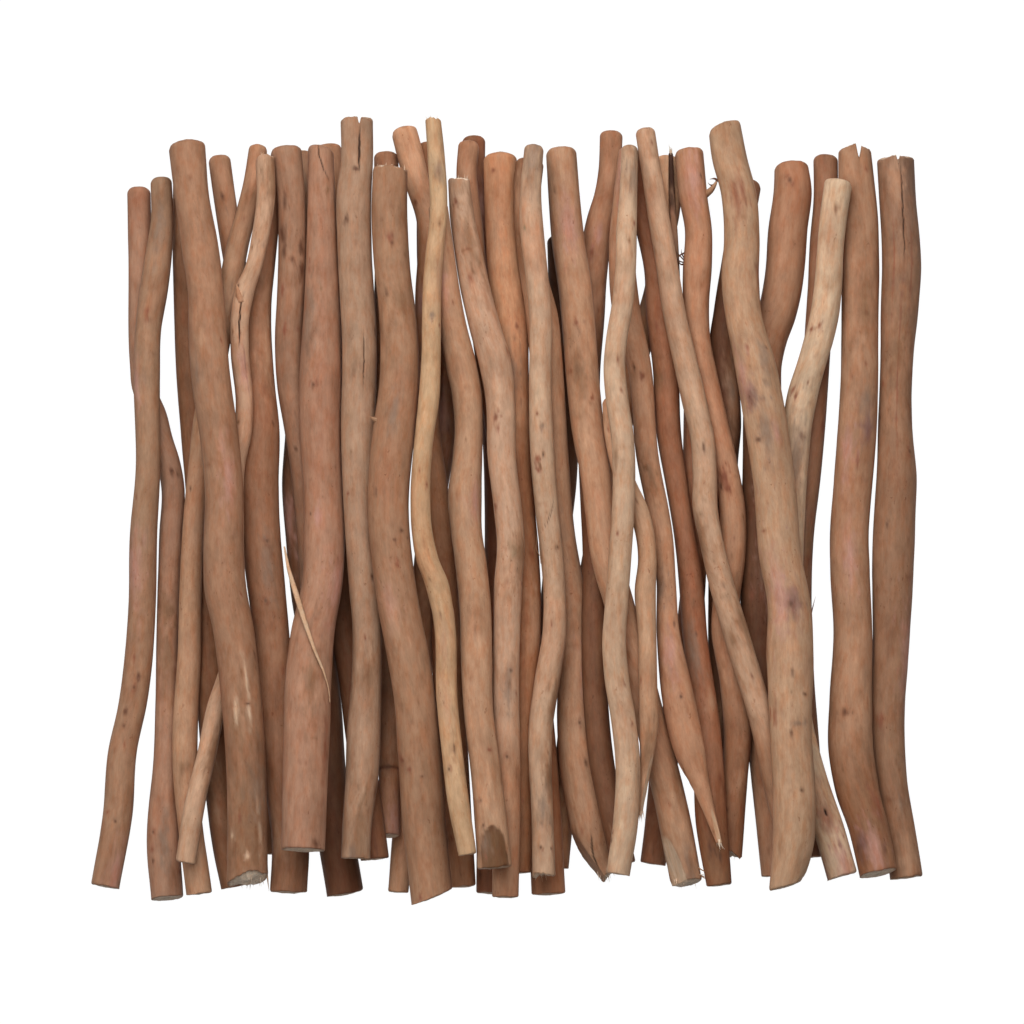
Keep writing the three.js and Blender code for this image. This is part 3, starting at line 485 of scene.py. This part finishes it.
# ---- the shape of a stick ----
class Stick:
    """The smooth, lumpy surface that follows the rings of one node's solid."""

    def __init__(self, node, row, seed):
        self.row = row
        self.seed = seed
        points = np.array([v.co[:] for v in node.data.vertices]) / MM
        points = np.unique(np.round(points, 2), axis=0)
        points = points[np.argsort(points[:, 1])]
        rings = points.reshape(-1, OCTAGON_CORNERS, 3)
        middle = rings.mean(axis=1)
        size = np.ptp(rings, axis=1) / 2 / OCTAGON
        self.station = middle[:, 1]
        self.track = np.column_stack((middle[:, 0], middle[:, 2], size[:, 0], size[:, 2]))
        self.near, self.far = self.station[0], self.station[-1]
        self.ends = [End(self, "near", rings[0]), End(self, "far", rings[-1])]
        self.marks = list(row.get("marks", []))

    def along(self, y):
        """Centre x and z, half-width and half-height at stations y, through every ring."""
        y = np.clip(y, self.near, self.far)
        k = np.clip(np.searchsorted(self.station, y) - 1, 0, len(self.station) - 2)
        slope = np.gradient(self.track, self.station, axis=0)
        h = (self.station[k + 1] - self.station[k])[:, None]
        t = ((y - self.station[k])[:, None]) / h
        a, b = self.track[k], self.track[k + 1]
        return (
            (1 + 2 * t) * (1 - t) ** 2 * a
            + t * (1 - t) ** 2 * h * slope[k]
            + t**2 * (3 - 2 * t) * b
            - t**2 * (1 - t) * h * slope[k + 1]
        )

    def section(self, y):
        """Centre x and z, half-width and half-height at one station."""
        return self.along(np.array([y]))[0]

    def axes(self, y):
        """The heading, side and up directions of the stick at stations y."""
        ahead, behind = self.along(y + 0.5), self.along(y - 0.5)
        dx = ahead[:, 0] - behind[:, 0]
        dz = ahead[:, 1] - behind[:, 1]
        heading = np.column_stack((dx, np.ones_like(y), dz))
        heading /= np.linalg.norm(heading, axis=1, keepdims=True)
        side = np.cross(heading, (0, 0, 1))
        side /= np.linalg.norm(side, axis=1, keepdims=True)
        return heading, side, np.cross(side, heading)

    def unbent(self, y, angle):
        """Where a point of the surface lies on the stick if it were straight."""
        radius = self.along(y)[:, 3]
        return np.column_stack((radius * np.cos(angle), radius * np.sin(angle), y))

    def lumps(self, y, angle):
        """How far the surface stands in or out, as a share of the radius."""
        place = self.unbent(y, angle)
        broad = layered(place * (0.11, 0.11, 0.035), self.seed)
        fine = layered(place * (0.45, 0.45, 0.10), self.seed + 50)
        return BUMPS * (broad + FINE_BUMPS * fine)

    def surface(self, y, angle, share):
        """Points of the surface, drawn in towards the axis by share."""
        track = self.along(y)
        _, side, up = self.axes(y)
        heading_cos = side[:, :1]  # the solid's half-width is measured square to Y
        out = (
            side * (track[:, 2:3] * heading_cos * np.cos(angle)[:, None])
            + up * (track[:, 3:4] * np.sin(angle)[:, None])
        )
        scale = (1 + self.lumps(y, angle)) * share * self.cut_share(y, angle)
        length = np.linalg.norm(out, axis=1)
        scale = scale + self.relief(y, angle) / length
        centre = np.column_stack((track[:, 0], y, track[:, 1]))
        return centre + out * scale[:, None]

    def find(self, x, y):
        """The station and angle of the spot that is seen at place (x, y)."""
        x += FLOOR_MIDDLE[0]
        seen = y + FLOOR_MIDDLE[1]
        station = seen
        for _ in range(6):
            cx, cz, half_width, half_height = self.section(station)
            across = max(-0.97, min(0.97, (x - cx) / half_width))
            station = seen - SLANT * (cz + half_height * math.sqrt(1 - across**2))
        return station, math.acos(across)

    def spot(self, x, y, rise):
        """The point that is seen at place (x, y), rise mm over the stick's axis."""
        station = y + FLOOR_MIDDLE[1]
        for _ in range(4):
            z = self.section(station)[1] + rise
            station = y + FLOOR_MIDDLE[1] - SLANT * z
        return x + FLOOR_MIDDLE[0], station, z

    def distances(self, y, angle, mark_y, mark_angle):
        """How far points lie from a mark, along the stick and round it."""
        turn = (angle - mark_angle + math.pi) % (2 * math.pi) - math.pi
        return y - mark_y, turn * self.section(mark_y)[3]

    def crack_share(self, y, angle):
        """How far inside a crack each point lies, from 0 on the skin to 1 in the slit."""
        share = np.zeros(len(y))
        radius = self.along(y)[:, 3]
        for number, (width, places) in enumerate(self.row.get("cracks", [])):
            spots = np.array([self.find(*place) for place in places])
            spots = spots[np.argsort(spots[:, 0])]
            along_y, round_y = np.ptp(spots[:, 0]), np.ptp(spots[:, 1]) * radius.mean()
            seed = self.seed + 71 + number
            if along_y > round_y:
                t = (y - spots[0, 0]) / along_y
                wander = CRACK_WANDER * noise(np.column_stack((y * 0.5, y * 0, y * 0)), seed)
                off = (angle - np.interp(y, spots[:, 0], spots[:, 1])) * radius + wander
            else:
                spots = spots[np.argsort(spots[:, 1])]
                t = (angle - spots[0, 1]) / np.ptp(spots[:, 1])
                off = y - np.interp(angle, spots[:, 1], spots[:, 0])
            taper = np.clip(np.sin(np.clip(t, 0, 1) * math.pi), 0, 1) ** 0.5
            inside = (t > 0) & (t < 1)
            half = np.maximum(width * CRACK_EDGE * taper, THINNEST_CRACK)
            share = np.maximum(share, np.exp(-((off / half) ** 2)) * taper * inside)
        return share

    def relief(self, y, angle):
        """Height of the knots over the surface, and the depth of the cracks, in mm."""
        height = -CRACK_DEPTH * self.crack_share(y, angle)
        for kind, x, seen, size, *_ in self.marks:
            if kind != "knot":
                continue
            run, round_ = self.distances(y, angle, *self.find(x, seen))
            far = np.hypot(run / KNOT_STRETCH, round_) / size
            for rise, spread in (KNOT_SWELLING, KNOT_PIT):
                height += size * rise * np.exp(-((far / spread) ** 2))
        return height

    def cut_share(self, y, angle, cuts=None):
        """How far flat cuts near the ends draw the surface in, as a share of the radius."""
        share = np.ones(len(y))
        for end, turn, reach, depth, _ in cuts or self.row.get("cuts", []):
            at = self.far if end == "far" else self.near
            run = np.clip(1 - np.abs(y - at) / reach, 0, 1)
            facing = np.maximum(np.cos(angle - math.radians(turn)), 1e-3)
            limit = (1 + CUT_START - (CUT_START + depth) * run**CUT_CURVE) / facing
            share = np.where(run > 0, np.minimum(share, limit), share)
        return np.maximum(share, SLIMMEST)


def scattered_marks(stick, rng):
    """Small flecks and broad faint stains strewn over the upper side of a stick."""
    marks = []
    length = stick.far - stick.near
    for kind, spacing, reach, tints, sizes, stretches in SCATTER:
        for _ in range(int(length / spacing)):
            y = rng.uniform(stick.near, stick.far)
            cx, cz, half_width, _ = stick.section(y)
            x = cx + half_width * rng.uniform(-reach, reach)
            seen = y + SLANT * cz - FLOOR_MIDDLE[1]
            tint = str(rng.choice(tints))
            size = rng.uniform(*sizes)
            marks.append((kind, x, seen, size, size * rng.uniform(*stretches), tint))
    return marks


# ---- the ends ----
END_KINDS = {
    # rounding of the rim in mm, crown of the face over the radius, height of the torn relief,
    # size of its fibres, share of fresh wood
    "worn": (1.5, 0.28, 0.30, 2.0, 0.10),
    "sawn": (0.5, 0.05, 0.45, 2.2, 0.20),
    "fresh": (0.4, 0.04, 0.30, 1.6, 0.75),
    "broken": (0.3, 0.10, 1.3, 1.0, 0.45),
    "torn": (0.2, 0.10, 1.1, 0.9, 0.95),
    "split": (0.6, 0.20, 0.7, 1.1, 0.25),
    "forked": (0.9, 0.25, 0.8, 1.2, 0.25),
    "whittled": (0.2, 0.10, 0.6, 0.9, 0.75),
}
OVERHANGS = {"sawn": 0.20, "broken": 0.17, "torn": 0.12, "fresh": 0.06}  # of a near face
# place across the face, half-width and depth of the notch in it
NOTCHES = {"split": (1.0, 0.7, 3.4), "forked": (1.6, 1.1, 6.5)}
USUAL_END = {"near": "sawn", "far": "worn"}
FRAYED = ("torn", "broken", "whittled")  # ends with loose strands
STRANDS_AT_END, STRAND_SIDES = 12, 6
STRAND_LENGTH = 2.6
STRAND_ROOT = 1.5  # how deep a strand starts inside the stick


class End:
    """One end of a stick: where it is, how it was made, and the shape of its face."""

    def __init__(self, stick, key, ring):
        row = stick.row
        near = key == "near"
        self.key = key
        self.seed = stick.seed
        self.tone = row.get("tone", USUAL_TONE)
        self.kind = row.get(key, USUAL_END[key])
        self.rounding, self.crown, self.height, self.fibre, self.fresh = END_KINDS[self.kind]
        self.at = stick.near if near else stick.far
        self.sign = -1 if near else 1
        self.radius = stick.section(self.at)[3]
        self.overhang = row.get("overhang", OVERHANGS.get(self.kind, 0)) if near else 0
        slant = row.get("slant", 0) if near else 0
        x = ring[:, 0] - ring[:, 0].mean()
        skew = float((x * ring[:, 1]).sum() / (x * x).sum())  # of the solid's own end
        heading, side, _ = stick.axes(np.array([self.at]))
        self.slope = float((skew + slant) * side[0, 0] + heading[0, 0])

    def flat(self, angle, share):
        """Where points of the face lie, to the side and up from its centre."""
        return self.radius * np.column_stack((np.cos(angle), np.sin(angle))) * share[:, None]

    def relief(self, flat):
        """How far the face stands out, in mm along the stick, at points (side, up) of it."""
        cells = np.column_stack((flat / self.fibre, np.full(len(flat), 3.7)))
        torn = noise(cells, self.seed + 91) + 0.6 * noise(cells * 2.3, self.seed + 92)
        broad = noise(cells * 0.25, self.seed + 93)
        crown = self.crown * (self.radius - (flat**2).sum(axis=1) / self.radius)
        out = self.height * (torn * 0.5 + broad) + crown
        if self.kind in NOTCHES:
            place, half_width, depth = NOTCHES[self.kind]
            out -= depth * np.clip(1 - np.abs(flat[:, 0] - place) / half_width, 0, 1)
        return out

    def shift(self, y, angle, share):
        """How far points near the end are carried along the stick by its slope and tears."""
        flat = self.flat(angle, share)
        carried = self.slope * flat[:, 0] + self.sign * self.relief(flat)
        carried -= self.overhang * (flat[:, 1] + self.radius)
        reach = END_REACH + 2.5 * np.abs(carried).max()
        return np.clip(1 - np.abs(y - self.at) / reach, 0, 1) ** 2 * carried

    def drawn_in(self, y):
        """How far the rounded rim draws the surface in, as a share of the radius."""
        back = np.clip(1 - np.abs(y - self.at) / self.rounding, 0, 1)
        return self.rounding * (1 - np.sqrt(1 - back**2)) / self.radius


# ---- colour ----
def blend_in(colour, tint, share):
    return colour + (np.asarray(tint) - colour) * share[:, None]


def marked(stick, colour, mark, y, angle, place):
    """The colour with one knot, patch, fleck or stain laid over it."""
    kind, x, seen, size, *rest = mark
    run, round_ = stick.distances(y, angle, *stick.find(x, seen))
    if kind == "knot":
        far = np.hypot(run / KNOT_STAIN, round_) / size
        colour = blend_in(colour, STAINS["dark"], 0.95 * np.exp(-((far / 0.65) ** 2)))
        broken = smooth_step(-0.3, 0.6, noise(place * (0.8, 0.8, 0.5), stick.seed + 20))
        ring = np.exp(-(((far - 1.25) / 0.45) ** 2)) * broken
        return blend_in(colour, STAINS["red"], 0.60 * ring)
    length, tint = rest
    if kind == "patch":
        far = np.hypot(run / length, round_ / size) + 0.06 * noise(place * 0.9, stick.seed)
        inside = 1 - smooth_step(0.90, 1.02, far)
        rim = smooth_step(0.70, 0.98, far)
        colour = blend_in(colour, STAINS[tint], 0.95 * inside)
        return blend_in(colour, STAINS["dark"], 0.40 * inside * rim)
    cells = place * (0.9, 0.9, 0.35)
    ragged = 0.85 + 0.5 * noise(cells, stick.seed + 21)
    ragged += 0.25 * noise(cells * 2.3, stick.seed + 22)
    far = np.hypot(run / length, round_ / size) * ragged
    return blend_in(colour, STAINS[tint], STRENGTHS[kind] * np.exp(-(far**2)))


def wood_colour(stick, y, angle):
    """The colour of the barkless surface: drifting, mottled, marked and cut, with painted shade in its
    cracks and on stretches deep in the heap.
    """
    row = stick.row
    # painted shade in part: sticks deep in the heap have a lower shade and a redder warm for the shade
    # they lie in
    tone = np.array(TONES[row.get("tone", USUAL_TONE)]) * row.get("shade", 1.0)
    tone *= 1 - WARMING * row.get("warm", 0.0)
    place = stick.unbent(y, angle)

    def spread(across, length, seed):
        return layered(place * (across, across, length), stick.seed + seed)

    colour = np.tile(tone, (len(y), 1))
    light = sum(most * spread(across, length, seed) for most, across, length, seed in LIGHTNESS)
    colour *= (1 + light)[:, None]
    drift = spread(0.08, 0.022, 14) + 0.5 * spread(0.30, 0.11, 16)
    grime = spread(0.14, 0.040, 15)
    dabs = spread(0.34, 0.20, 17)
    tinges = ((drift, REDDER), (-drift, YELLOWER), (grime, GRIMY), (dabs, DABBED))
    for value, (tint, most, start, full) in tinges:
        colour = blend_in(colour, tone * tint, most * smooth_step(start, full, value))
    # painted shade: each deep stretch is darkened to its share and tinted warmer, standing in for the
    # shade between other sticks
    seen_y = y - FLOOR_MIDDLE[1]
    for upper, lower, share in row.get("deep", []):
        inside = smooth_step(lower - PAINTED_SHADE_FADE, lower + PAINTED_SHADE_FADE, seen_y)
        inside *= 1 - smooth_step(upper - PAINTED_SHADE_FADE, upper + PAINTED_SHADE_FADE, seen_y)
        colour = blend_in(colour, colour * share * PAINTED_SHADE_TINT, inside)
    for mark in stick.marks:
        colour = marked(stick, colour, mark, y, angle, place)
    for cut in row.get("cuts", []):
        if cut[4] is None:
            continue
        drawn_in = 1 - stick.cut_share(y, angle, [cut])
        grain = noise(place * (1.6, 1.6, 0.12), stick.seed + 23)
        tint = np.array(STAINS[cut[4]]) * (1 + 0.12 * grain)[:, None]
        colour = blend_in(colour, tint, 0.9 * smooth_step(0.01, 0.06, drawn_in))
    # painted shade: the slit of each crack is darkened to near black
    slit = stick.crack_share(y, angle)
    colour = blend_in(colour, CRACK_SHADE, smooth_step(0.15, 0.8, slit))
    return np.clip(colour, 0.01, 0.95)


def end_colour(end, flat, sides):
    """The colour of an end's face: pale and fibrous, darker at the rim and the pith."""
    far = np.hypot(flat[:, 0], flat[:, 1]) / end.radius
    cells = np.column_stack((flat * 1.6, np.zeros(len(flat))))
    grain = noise(cells, end.seed + 95)
    base = AGED_END + (FRESH - AGED_END) * end.fresh
    if end.tone == "weathered":
        base = np.array(TONES["weathered"])
    rings = 0.05 * np.sin(far * end.radius * 4.5)
    colour = np.tile(base, (len(flat), 1)) * (1 + 0.16 * grain + rings)[:, None]
    colour = blend_in(colour, base * 0.45, 0.8 * np.exp(-((far / 0.10) ** 2)))
    return blend_in(colour, sides, smooth_step(0.86, 1.0, far))


# ---- meshes ----
class Build:
    """Vertices, faces, colours and grain places of one piece, gathered part by part."""

    def __init__(self):
        self.points, self.faces, self.colours, self.grain = [], [], [], []
        self.count = 0

    def add(self, points, faces, colours, grain):
        self.points.append(points)
        self.faces += [tuple(i + self.count for i in face) for face in faces]
        self.colours.append(colours)
        self.grain.append(grain)
        self.count += len(points)

    def mesh(self, name):
        points = np.concatenate(self.points) * MM
        mesh = bpy.data.meshes.new(name)
        mesh.from_pydata(points.tolist(), [], self.faces)
        colours = np.concatenate(self.colours)
        colours = np.column_stack((colours, np.ones(len(colours))))
        layer = mesh.color_attributes.new("wood", "FLOAT_COLOR", "POINT")
        layer.data.foreach_set("color", colours.astype(np.float32).ravel())
        layer = mesh.attributes.new("grain", "FLOAT_VECTOR", "POINT")
        layer.data.foreach_set("vector", np.concatenate(self.grain).astype(np.float32).ravel())
        mesh.shade_smooth()
        mesh.update()
        return mesh


def angles_round(around):
    """The angles of a ring's vertices, closer together on the upper side."""
    turn = np.arange(around) * 2 * math.pi / around
    return turn + TOP_BIAS * np.cos(turn)


def grid_faces(rings, around):
    """The quads of a tube of closed rings, facing out where each ring turns from side to up."""
    faces = []
    for i in range(rings - 1):
        for j in range(around):
            k = (j + 1) % around
            ring, above = i * around, (i + 1) * around
            faces.append((ring + j, above + j, above + k, ring + k))
    return faces


def stations_of(stick, step):
    """Ring stations along a stick, close together at its ends and over small marks."""
    margin = END_STEPS[-1]
    inner = np.arange(stick.near + margin + step, stick.far - margin - step / 2, step)
    for _, x, seen, size, *rest in stick.row.get("marks", []):
        length = rest[0] if rest else KNOT_STAIN * size
        if length < SHORT_MARK:
            middle = stick.find(x, seen)[0]
            inner = np.append(inner, middle + length * np.array(MARK_STEPS))
    inner = np.sort(inner[(inner > stick.near + margin + 0.4) & (inner < stick.far - margin - 0.4)])
    kept = [inner[0]]
    for station in inner[1:]:
        if station - kept[-1] > CLOSEST:
            kept.append(station)
    near = stick.near + np.array(END_STEPS)
    far = stick.far - np.array(END_STEPS)[::-1]
    return np.concatenate((near, kept, far))


def carried_surface(stick, y, angle, share):
    """Points of the surface, moved along the stick where the ends carry them."""
    heading, _, _ = stick.axes(y)
    shift = sum(end.shift(y, angle, share) for end in stick.ends)
    return stick.surface(y, angle, share) + heading * shift[:, None]


def rim_share(stick, y):
    """The share of the radius that the rounded rims leave."""
    return 1 - sum(end.drawn_in(y) for end in stick.ends)


def add_trunk(build, stick):
    """The stick itself: its side and the faces of its two ends."""
    usual = "fine" if "cracks" in stick.row else "seen"
    around, step = MESHES[stick.row.get("mesh", usual)]
    stations = stations_of(stick, step)
    y = np.repeat(stations, around)
    angle = np.tile(angles_round(around), len(stations))
    points = carried_surface(stick, y, angle, rim_share(stick, y))
    points[:, 2] = np.maximum(points[:, 2], 0)
    colours = wood_colour(stick, y, angle)
    build.add(points, grid_faces(len(stations), around), colours, stick.unbent(y, angle))
    for end, rim in zip(stick.ends, (colours[:around], colours[-around:])):
        add_cap(build, stick, end, rim)


def add_cap(build, stick, end, rim_colours):
    """The face of one end: rings that shrink to a point in its middle."""
    around = len(rim_colours)
    shares = np.array((1.0, *CAP_SHARES))
    angle = np.tile(angles_round(around), len(shares))
    ring = np.repeat(shares, around)
    y = np.full(len(angle), end.at)
    points = carried_surface(stick, y, angle, rim_share(stick, y) * ring)
    points = np.vstack((points, points[-around:].mean(axis=0)))
    points[:, 2] = np.maximum(points[:, 2], 0)
    flat = end.flat(angle, ring)
    colours = end_colour(end, flat, np.tile(rim_colours, (len(shares), 1)))
    colours = np.vstack((colours, colours[-around:].mean(axis=0)))
    grain = np.column_stack((flat * 3, y))
    grain = np.vstack((grain, (0, 0, end.at)))
    faces = grid_faces(len(shares), around)
    hub = len(points) - 1
    last = (len(shares) - 1) * around
    faces += [(last + (j + 1) % around, last + j, hub) for j in range(around)]
    if end.key == "near":
        faces = [face[::-1] for face in faces]
    build.add(points, faces, colours, grain)


def add_fibre(build, path, radius, colour, thickness=1.0):
    """A thin strand along a path of points, tapering to a fine tip."""
    path = np.array(path, float)
    run = np.concatenate(([0], np.cumsum(np.linalg.norm(np.diff(path, axis=0), axis=1))))
    at = np.linspace(0, run[-1], max(5, int(run[-1] / 0.6)))
    line = np.column_stack([np.interp(at, run, path[:, k]) for k in range(3)])
    for _ in range(3):
        line[1:-1] = (line[:-2] + 2 * line[1:-1] + line[2:]) / 4
    heading = np.gradient(line, axis=0)
    heading /= np.linalg.norm(heading, axis=1, keepdims=True)
    side = np.cross(heading, (0.03, 0.05, 1))
    side /= np.linalg.norm(side, axis=1, keepdims=True)
    up = np.cross(side, heading)
    taper = np.clip(1 - (at / run[-1]) ** 1.6, 0.12, 1) * radius
    if thickness < 1:
        taper *= np.clip(0.2 + 2.2 * at / run[-1], 0, 1)
    points = []
    for k in range(STRAND_SIDES):
        turn = 2 * math.pi * k / STRAND_SIDES
        out = side * math.cos(turn) + up * (thickness * math.sin(turn))
        points.append(line + out * taper[:, None])
    points = np.stack(points, axis=1).reshape(-1, 3)
    faces = grid_faces(len(line), STRAND_SIDES)
    faces.append(tuple(range(STRAND_SIDES)))
    faces.append(tuple(range(len(points) - STRAND_SIDES, len(points)))[::-1])
    build.add(points, faces, np.tile(colour, (len(points), 1)), points * 0.5)


def end_fibres(build, stick, end, rng):
    """Loose strands that stand out of a torn end."""
    cx, cz, _, _ = stick.section(end.at)
    heading, side, up = (axis[0] for axis in stick.axes(np.array([end.at])))
    outward = heading * end.sign
    centre = np.array((cx, end.at, cz))
    for _ in range(STRANDS_AT_END):
        turn = rng.uniform(0, 2 * math.pi)
        out = (side * math.cos(turn) + up * math.sin(turn)) * end.radius * rng.uniform(0.4, 0.9)
        reach = STRAND_LENGTH * rng.uniform(0.35, 1)
        root = centre + out - outward * STRAND_ROOT
        lean = rng.normal(0, 0.25, 3) * reach
        middle = root + outward * (reach * 0.6 + STRAND_ROOT) + lean * 0.4
        tip = root + outward * (reach + STRAND_ROOT) + lean + np.array((0, 0, -0.3))
        colour = FRESH * rng.uniform(0.6, 1.0)
        add_fibre(build, [root, middle, tip], rng.uniform(0.10, 0.28), colour)


# ---- material ----
def set_inputs(shader_node, inputs):
    for key, value in inputs.items():
        shader_node.inputs[key].default_value = value


def node(tree, kind, **inputs):
    """A new node whose inputs have the stated values."""
    made = tree.nodes.new(kind)
    set_inputs(made, inputs)
    return made


def wood_material(name):
    """Dry peeled wood: the painted colour under mottling, streaks, pores and specks."""
    material = bpy.data.materials.new(name)
    material.use_nodes = True
    tree = material.node_tree
    link = tree.links.new
    tree.nodes.clear()
    output = tree.nodes.new("ShaderNodeOutputMaterial")
    shader = tree.nodes.new("ShaderNodeBsdfPrincipled")
    set_inputs(shader, {"Roughness": 0.68, "Specular IOR Level": 0.18})
    link(shader.outputs["BSDF"], output.inputs["Surface"])
    painted = tree.nodes.new("ShaderNodeAttribute")
    painted.attribute_name = "wood"
    grain = tree.nodes.new("ShaderNodeAttribute")
    grain.attribute_name = "grain"

    def noise_of(across, length, detail, roughness):
        """Noise with so many cells to a millimetre, across the stick and along it."""
        mapping = node(tree, "ShaderNodeMapping", Scale=(across, across, length))
        link(grain.outputs["Vector"], mapping.inputs["Vector"])
        made = node(tree, "ShaderNodeTexNoise", Scale=1.0, Detail=detail, Roughness=roughness)
        link(mapping.outputs["Vector"], made.inputs["Vector"])
        return made.outputs["Fac"]

    def ranged(value, low, high, to_low, to_high):
        """The value carried from one range to another, and held at its ends."""
        limits = {"From Min": low, "From Max": high, "To Min": to_low, "To Max": to_high}
        made = node(tree, "ShaderNodeMapRange", **limits)
        link(value, made.inputs["Value"])
        return made.outputs["Result"]

    def times(a, b):
        made = tree.nodes.new("ShaderNodeMath")
        made.operation = "MULTIPLY"
        link(a, made.inputs[0])
        link(b, made.inputs[1])
        return made.outputs["Value"]

    def tinted(colour, share, tint):
        """The colour multiplied by a tint, as far as the share says."""
        made = tree.nodes.new("ShaderNodeMix")
        made.data_type = "RGBA"
        made.blend_type = "MULTIPLY"
        link(share, made.inputs["Factor"])
        link(colour, made.inputs["A"])
        made.inputs["B"].default_value = (*tint, 1)
        return made.outputs["Result"]

    streaks = noise_of(0.9, 0.045, 5.0, 0.6)
    mottle = noise_of(0.28, 0.11, 6.0, 0.65)
    pores = noise_of(2.6, 0.45, 4.0, 0.6)
    fibres = noise_of(4.0, 0.16, 3.0, 0.6)
    clusters = ranged(noise_of(0.10, 0.05, 2.0, 0.5), 0.48, 0.62, 0, 1)
    specks = times(ranged(noise_of(0.9, 0.45, 3.0, 0.6), 0.63, 0.72, 0, 0.80), clusters)
    colour = painted.outputs["Color"]
    reddish = ranged(noise_of(0.42, 0.14, 6.0, 0.65), 0.45, 0.66, 0, 0.95)
    colour = tinted(colour, reddish, (0.98, 0.82, 0.72))
    greyish = ranged(noise_of(0.16, 0.06, 6.0, 0.65), 0.48, 0.66, 0, 0.90)
    colour = tinted(colour, greyish, (0.84, 0.80, 0.76))
    colour = tinted(colour, specks, (0.56, 0.40, 0.33))
    light = times(ranged(streaks, 0.3, 0.7, 0.93, 1.07), ranged(mottle, 0.3, 0.7, 0.86, 1.16))
    light = times(light, ranged(pores, 0.3, 0.7, 0.93, 1.07))
    scaled = tree.nodes.new("ShaderNodeVectorMath")
    scaled.operation = "SCALE"
    link(colour, scaled.inputs[0])
    link(light, scaled.inputs["Scale"])
    link(scaled.outputs["Vector"], shader.inputs["Base Color"])
    bump = node(tree, "ShaderNodeBump", Strength=0.45, Distance=0.00015)
    link(times(fibres, pores), bump.inputs["Height"])
    link(bump.outputs["Normal"], shader.inputs["Normal"])
    return material


# ---- assembly ----
def in_scene(name, data):
    """A new object with the mesh, lamp or camera, put in the scene."""
    made = bpy.data.objects.new(name, data)
    bpy.context.scene.collection.objects.link(made)
    return made


def dress(name, node_object, row, material, seed):
    """Builds one stick's visual mesh and puts it in place of its solid."""
    rng = np.random.default_rng(seed)
    stick = Stick(node_object, row, seed)
    stick.marks += scattered_marks(stick, rng)
    build = Build()
    add_trunk(build, stick)
    for radius, tint, places, *thickness in row.get("strands", []):
        path = [stick.spot(*place) for place in places]
        add_fibre(build, path, radius, np.array(STAINS[tint]), *thickness)
    for end in stick.ends:
        if end.kind in FRAYED:
            end_fibres(build, stick, end, rng)
    piece_name = name.replace("stick", "twig")
    piece = in_scene(piece_name, build.mesh(piece_name))
    piece.data.materials.append(material)
    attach(piece, "root")
    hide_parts(name)


def add_floor():
    """A white floor that lights nothing, so that the gaps in the heap stay deep."""
    half = FLOOR_WIDTH / 2
    corners = [(-half, -half, 0), (half, -half, 0), (half, half, 0), (-half, half, 0)]
    mesh = bpy.data.meshes.new("floor")
    mesh.from_pydata(corners, [], [(0, 1, 2, 3)])
    floor = in_scene("floor", mesh)
    floor.location.z = -FLOOR_GAP
    floor.visible_diffuse = False
    material = bpy.data.materials.new("white_floor")
    material.use_nodes = True
    shader = material.node_tree.nodes["Principled BSDF"]
    set_inputs(shader, {"Base Color": NEARLY_BLACK, "Roughness": 0.9, "Specular IOR Level": 0})
    set_inputs(shader, {"Emission Color": WHITE, "Emission Strength": 1.0})
    mesh.materials.append(material)


def aimed(name, data, place, target):
    """A lamp or camera at a place, looking at the target."""
    thing = in_scene(name, data)
    thing.location = place
    thing.rotation_mode = "QUATERNION"
    thing.rotation_quaternion = (Vector(target) - Vector(place)).to_track_quat("-Z", "Y")
    return thing


def add_light():
    """Soft boxes overhead and a pale world that is seen behind the floor but lights nothing."""
    world = bpy.data.worlds.new("studio")
    world.use_nodes = True
    set_inputs(world.node_tree.nodes["Background"], {"Color": WHITE, "Strength": 0.9})
    world.cycles_visibility.diffuse = False
    world.cycles_visibility.glossy = False
    bpy.context.scene.world = world
    for name, place, size, power in SOFT_BOXES:
        lamp = bpy.data.lights.new(name, "AREA")
        lamp.size = size
        lamp.energy = power
        aimed(name, lamp, place, (0, 0, 0))


def add_camera():
    """A long lens that looks down on the heap, leaning a little towards its near side."""
    camera = bpy.data.cameras.new("camera")
    camera.sensor_width = 36
    camera.lens = camera.sensor_width * CAMERA_DISTANCE / SHOWN_WIDTH
    camera.clip_end = 3 * CAMERA_DISTANCE
    lean = math.radians(LEAN_DEG)
    back = Vector((0, -math.sin(lean), math.cos(lean)))
    place = Vector(CAMERA_TARGET) + back * CAMERA_DISTANCE
    bpy.context.scene.camera = aimed("camera", camera, place, CAMERA_TARGET)


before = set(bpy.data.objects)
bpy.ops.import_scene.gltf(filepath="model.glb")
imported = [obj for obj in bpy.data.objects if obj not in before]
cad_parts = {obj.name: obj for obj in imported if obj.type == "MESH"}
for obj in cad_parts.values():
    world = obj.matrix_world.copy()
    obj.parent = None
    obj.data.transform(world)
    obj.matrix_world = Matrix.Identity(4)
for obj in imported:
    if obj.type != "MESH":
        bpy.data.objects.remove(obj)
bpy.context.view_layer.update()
wood = wood_material("twig_wood")
weathered = wood_material("weathered_wood")
for number, (name, row) in enumerate(STICKS.items()):
    material = weathered if name == "splinter" else wood
    dress(name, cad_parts[name], row, material, 100 + 7 * number)
add_floor()
add_light()
add_camera()
bpy.context.scene.view_settings.view_transform = "Standard"
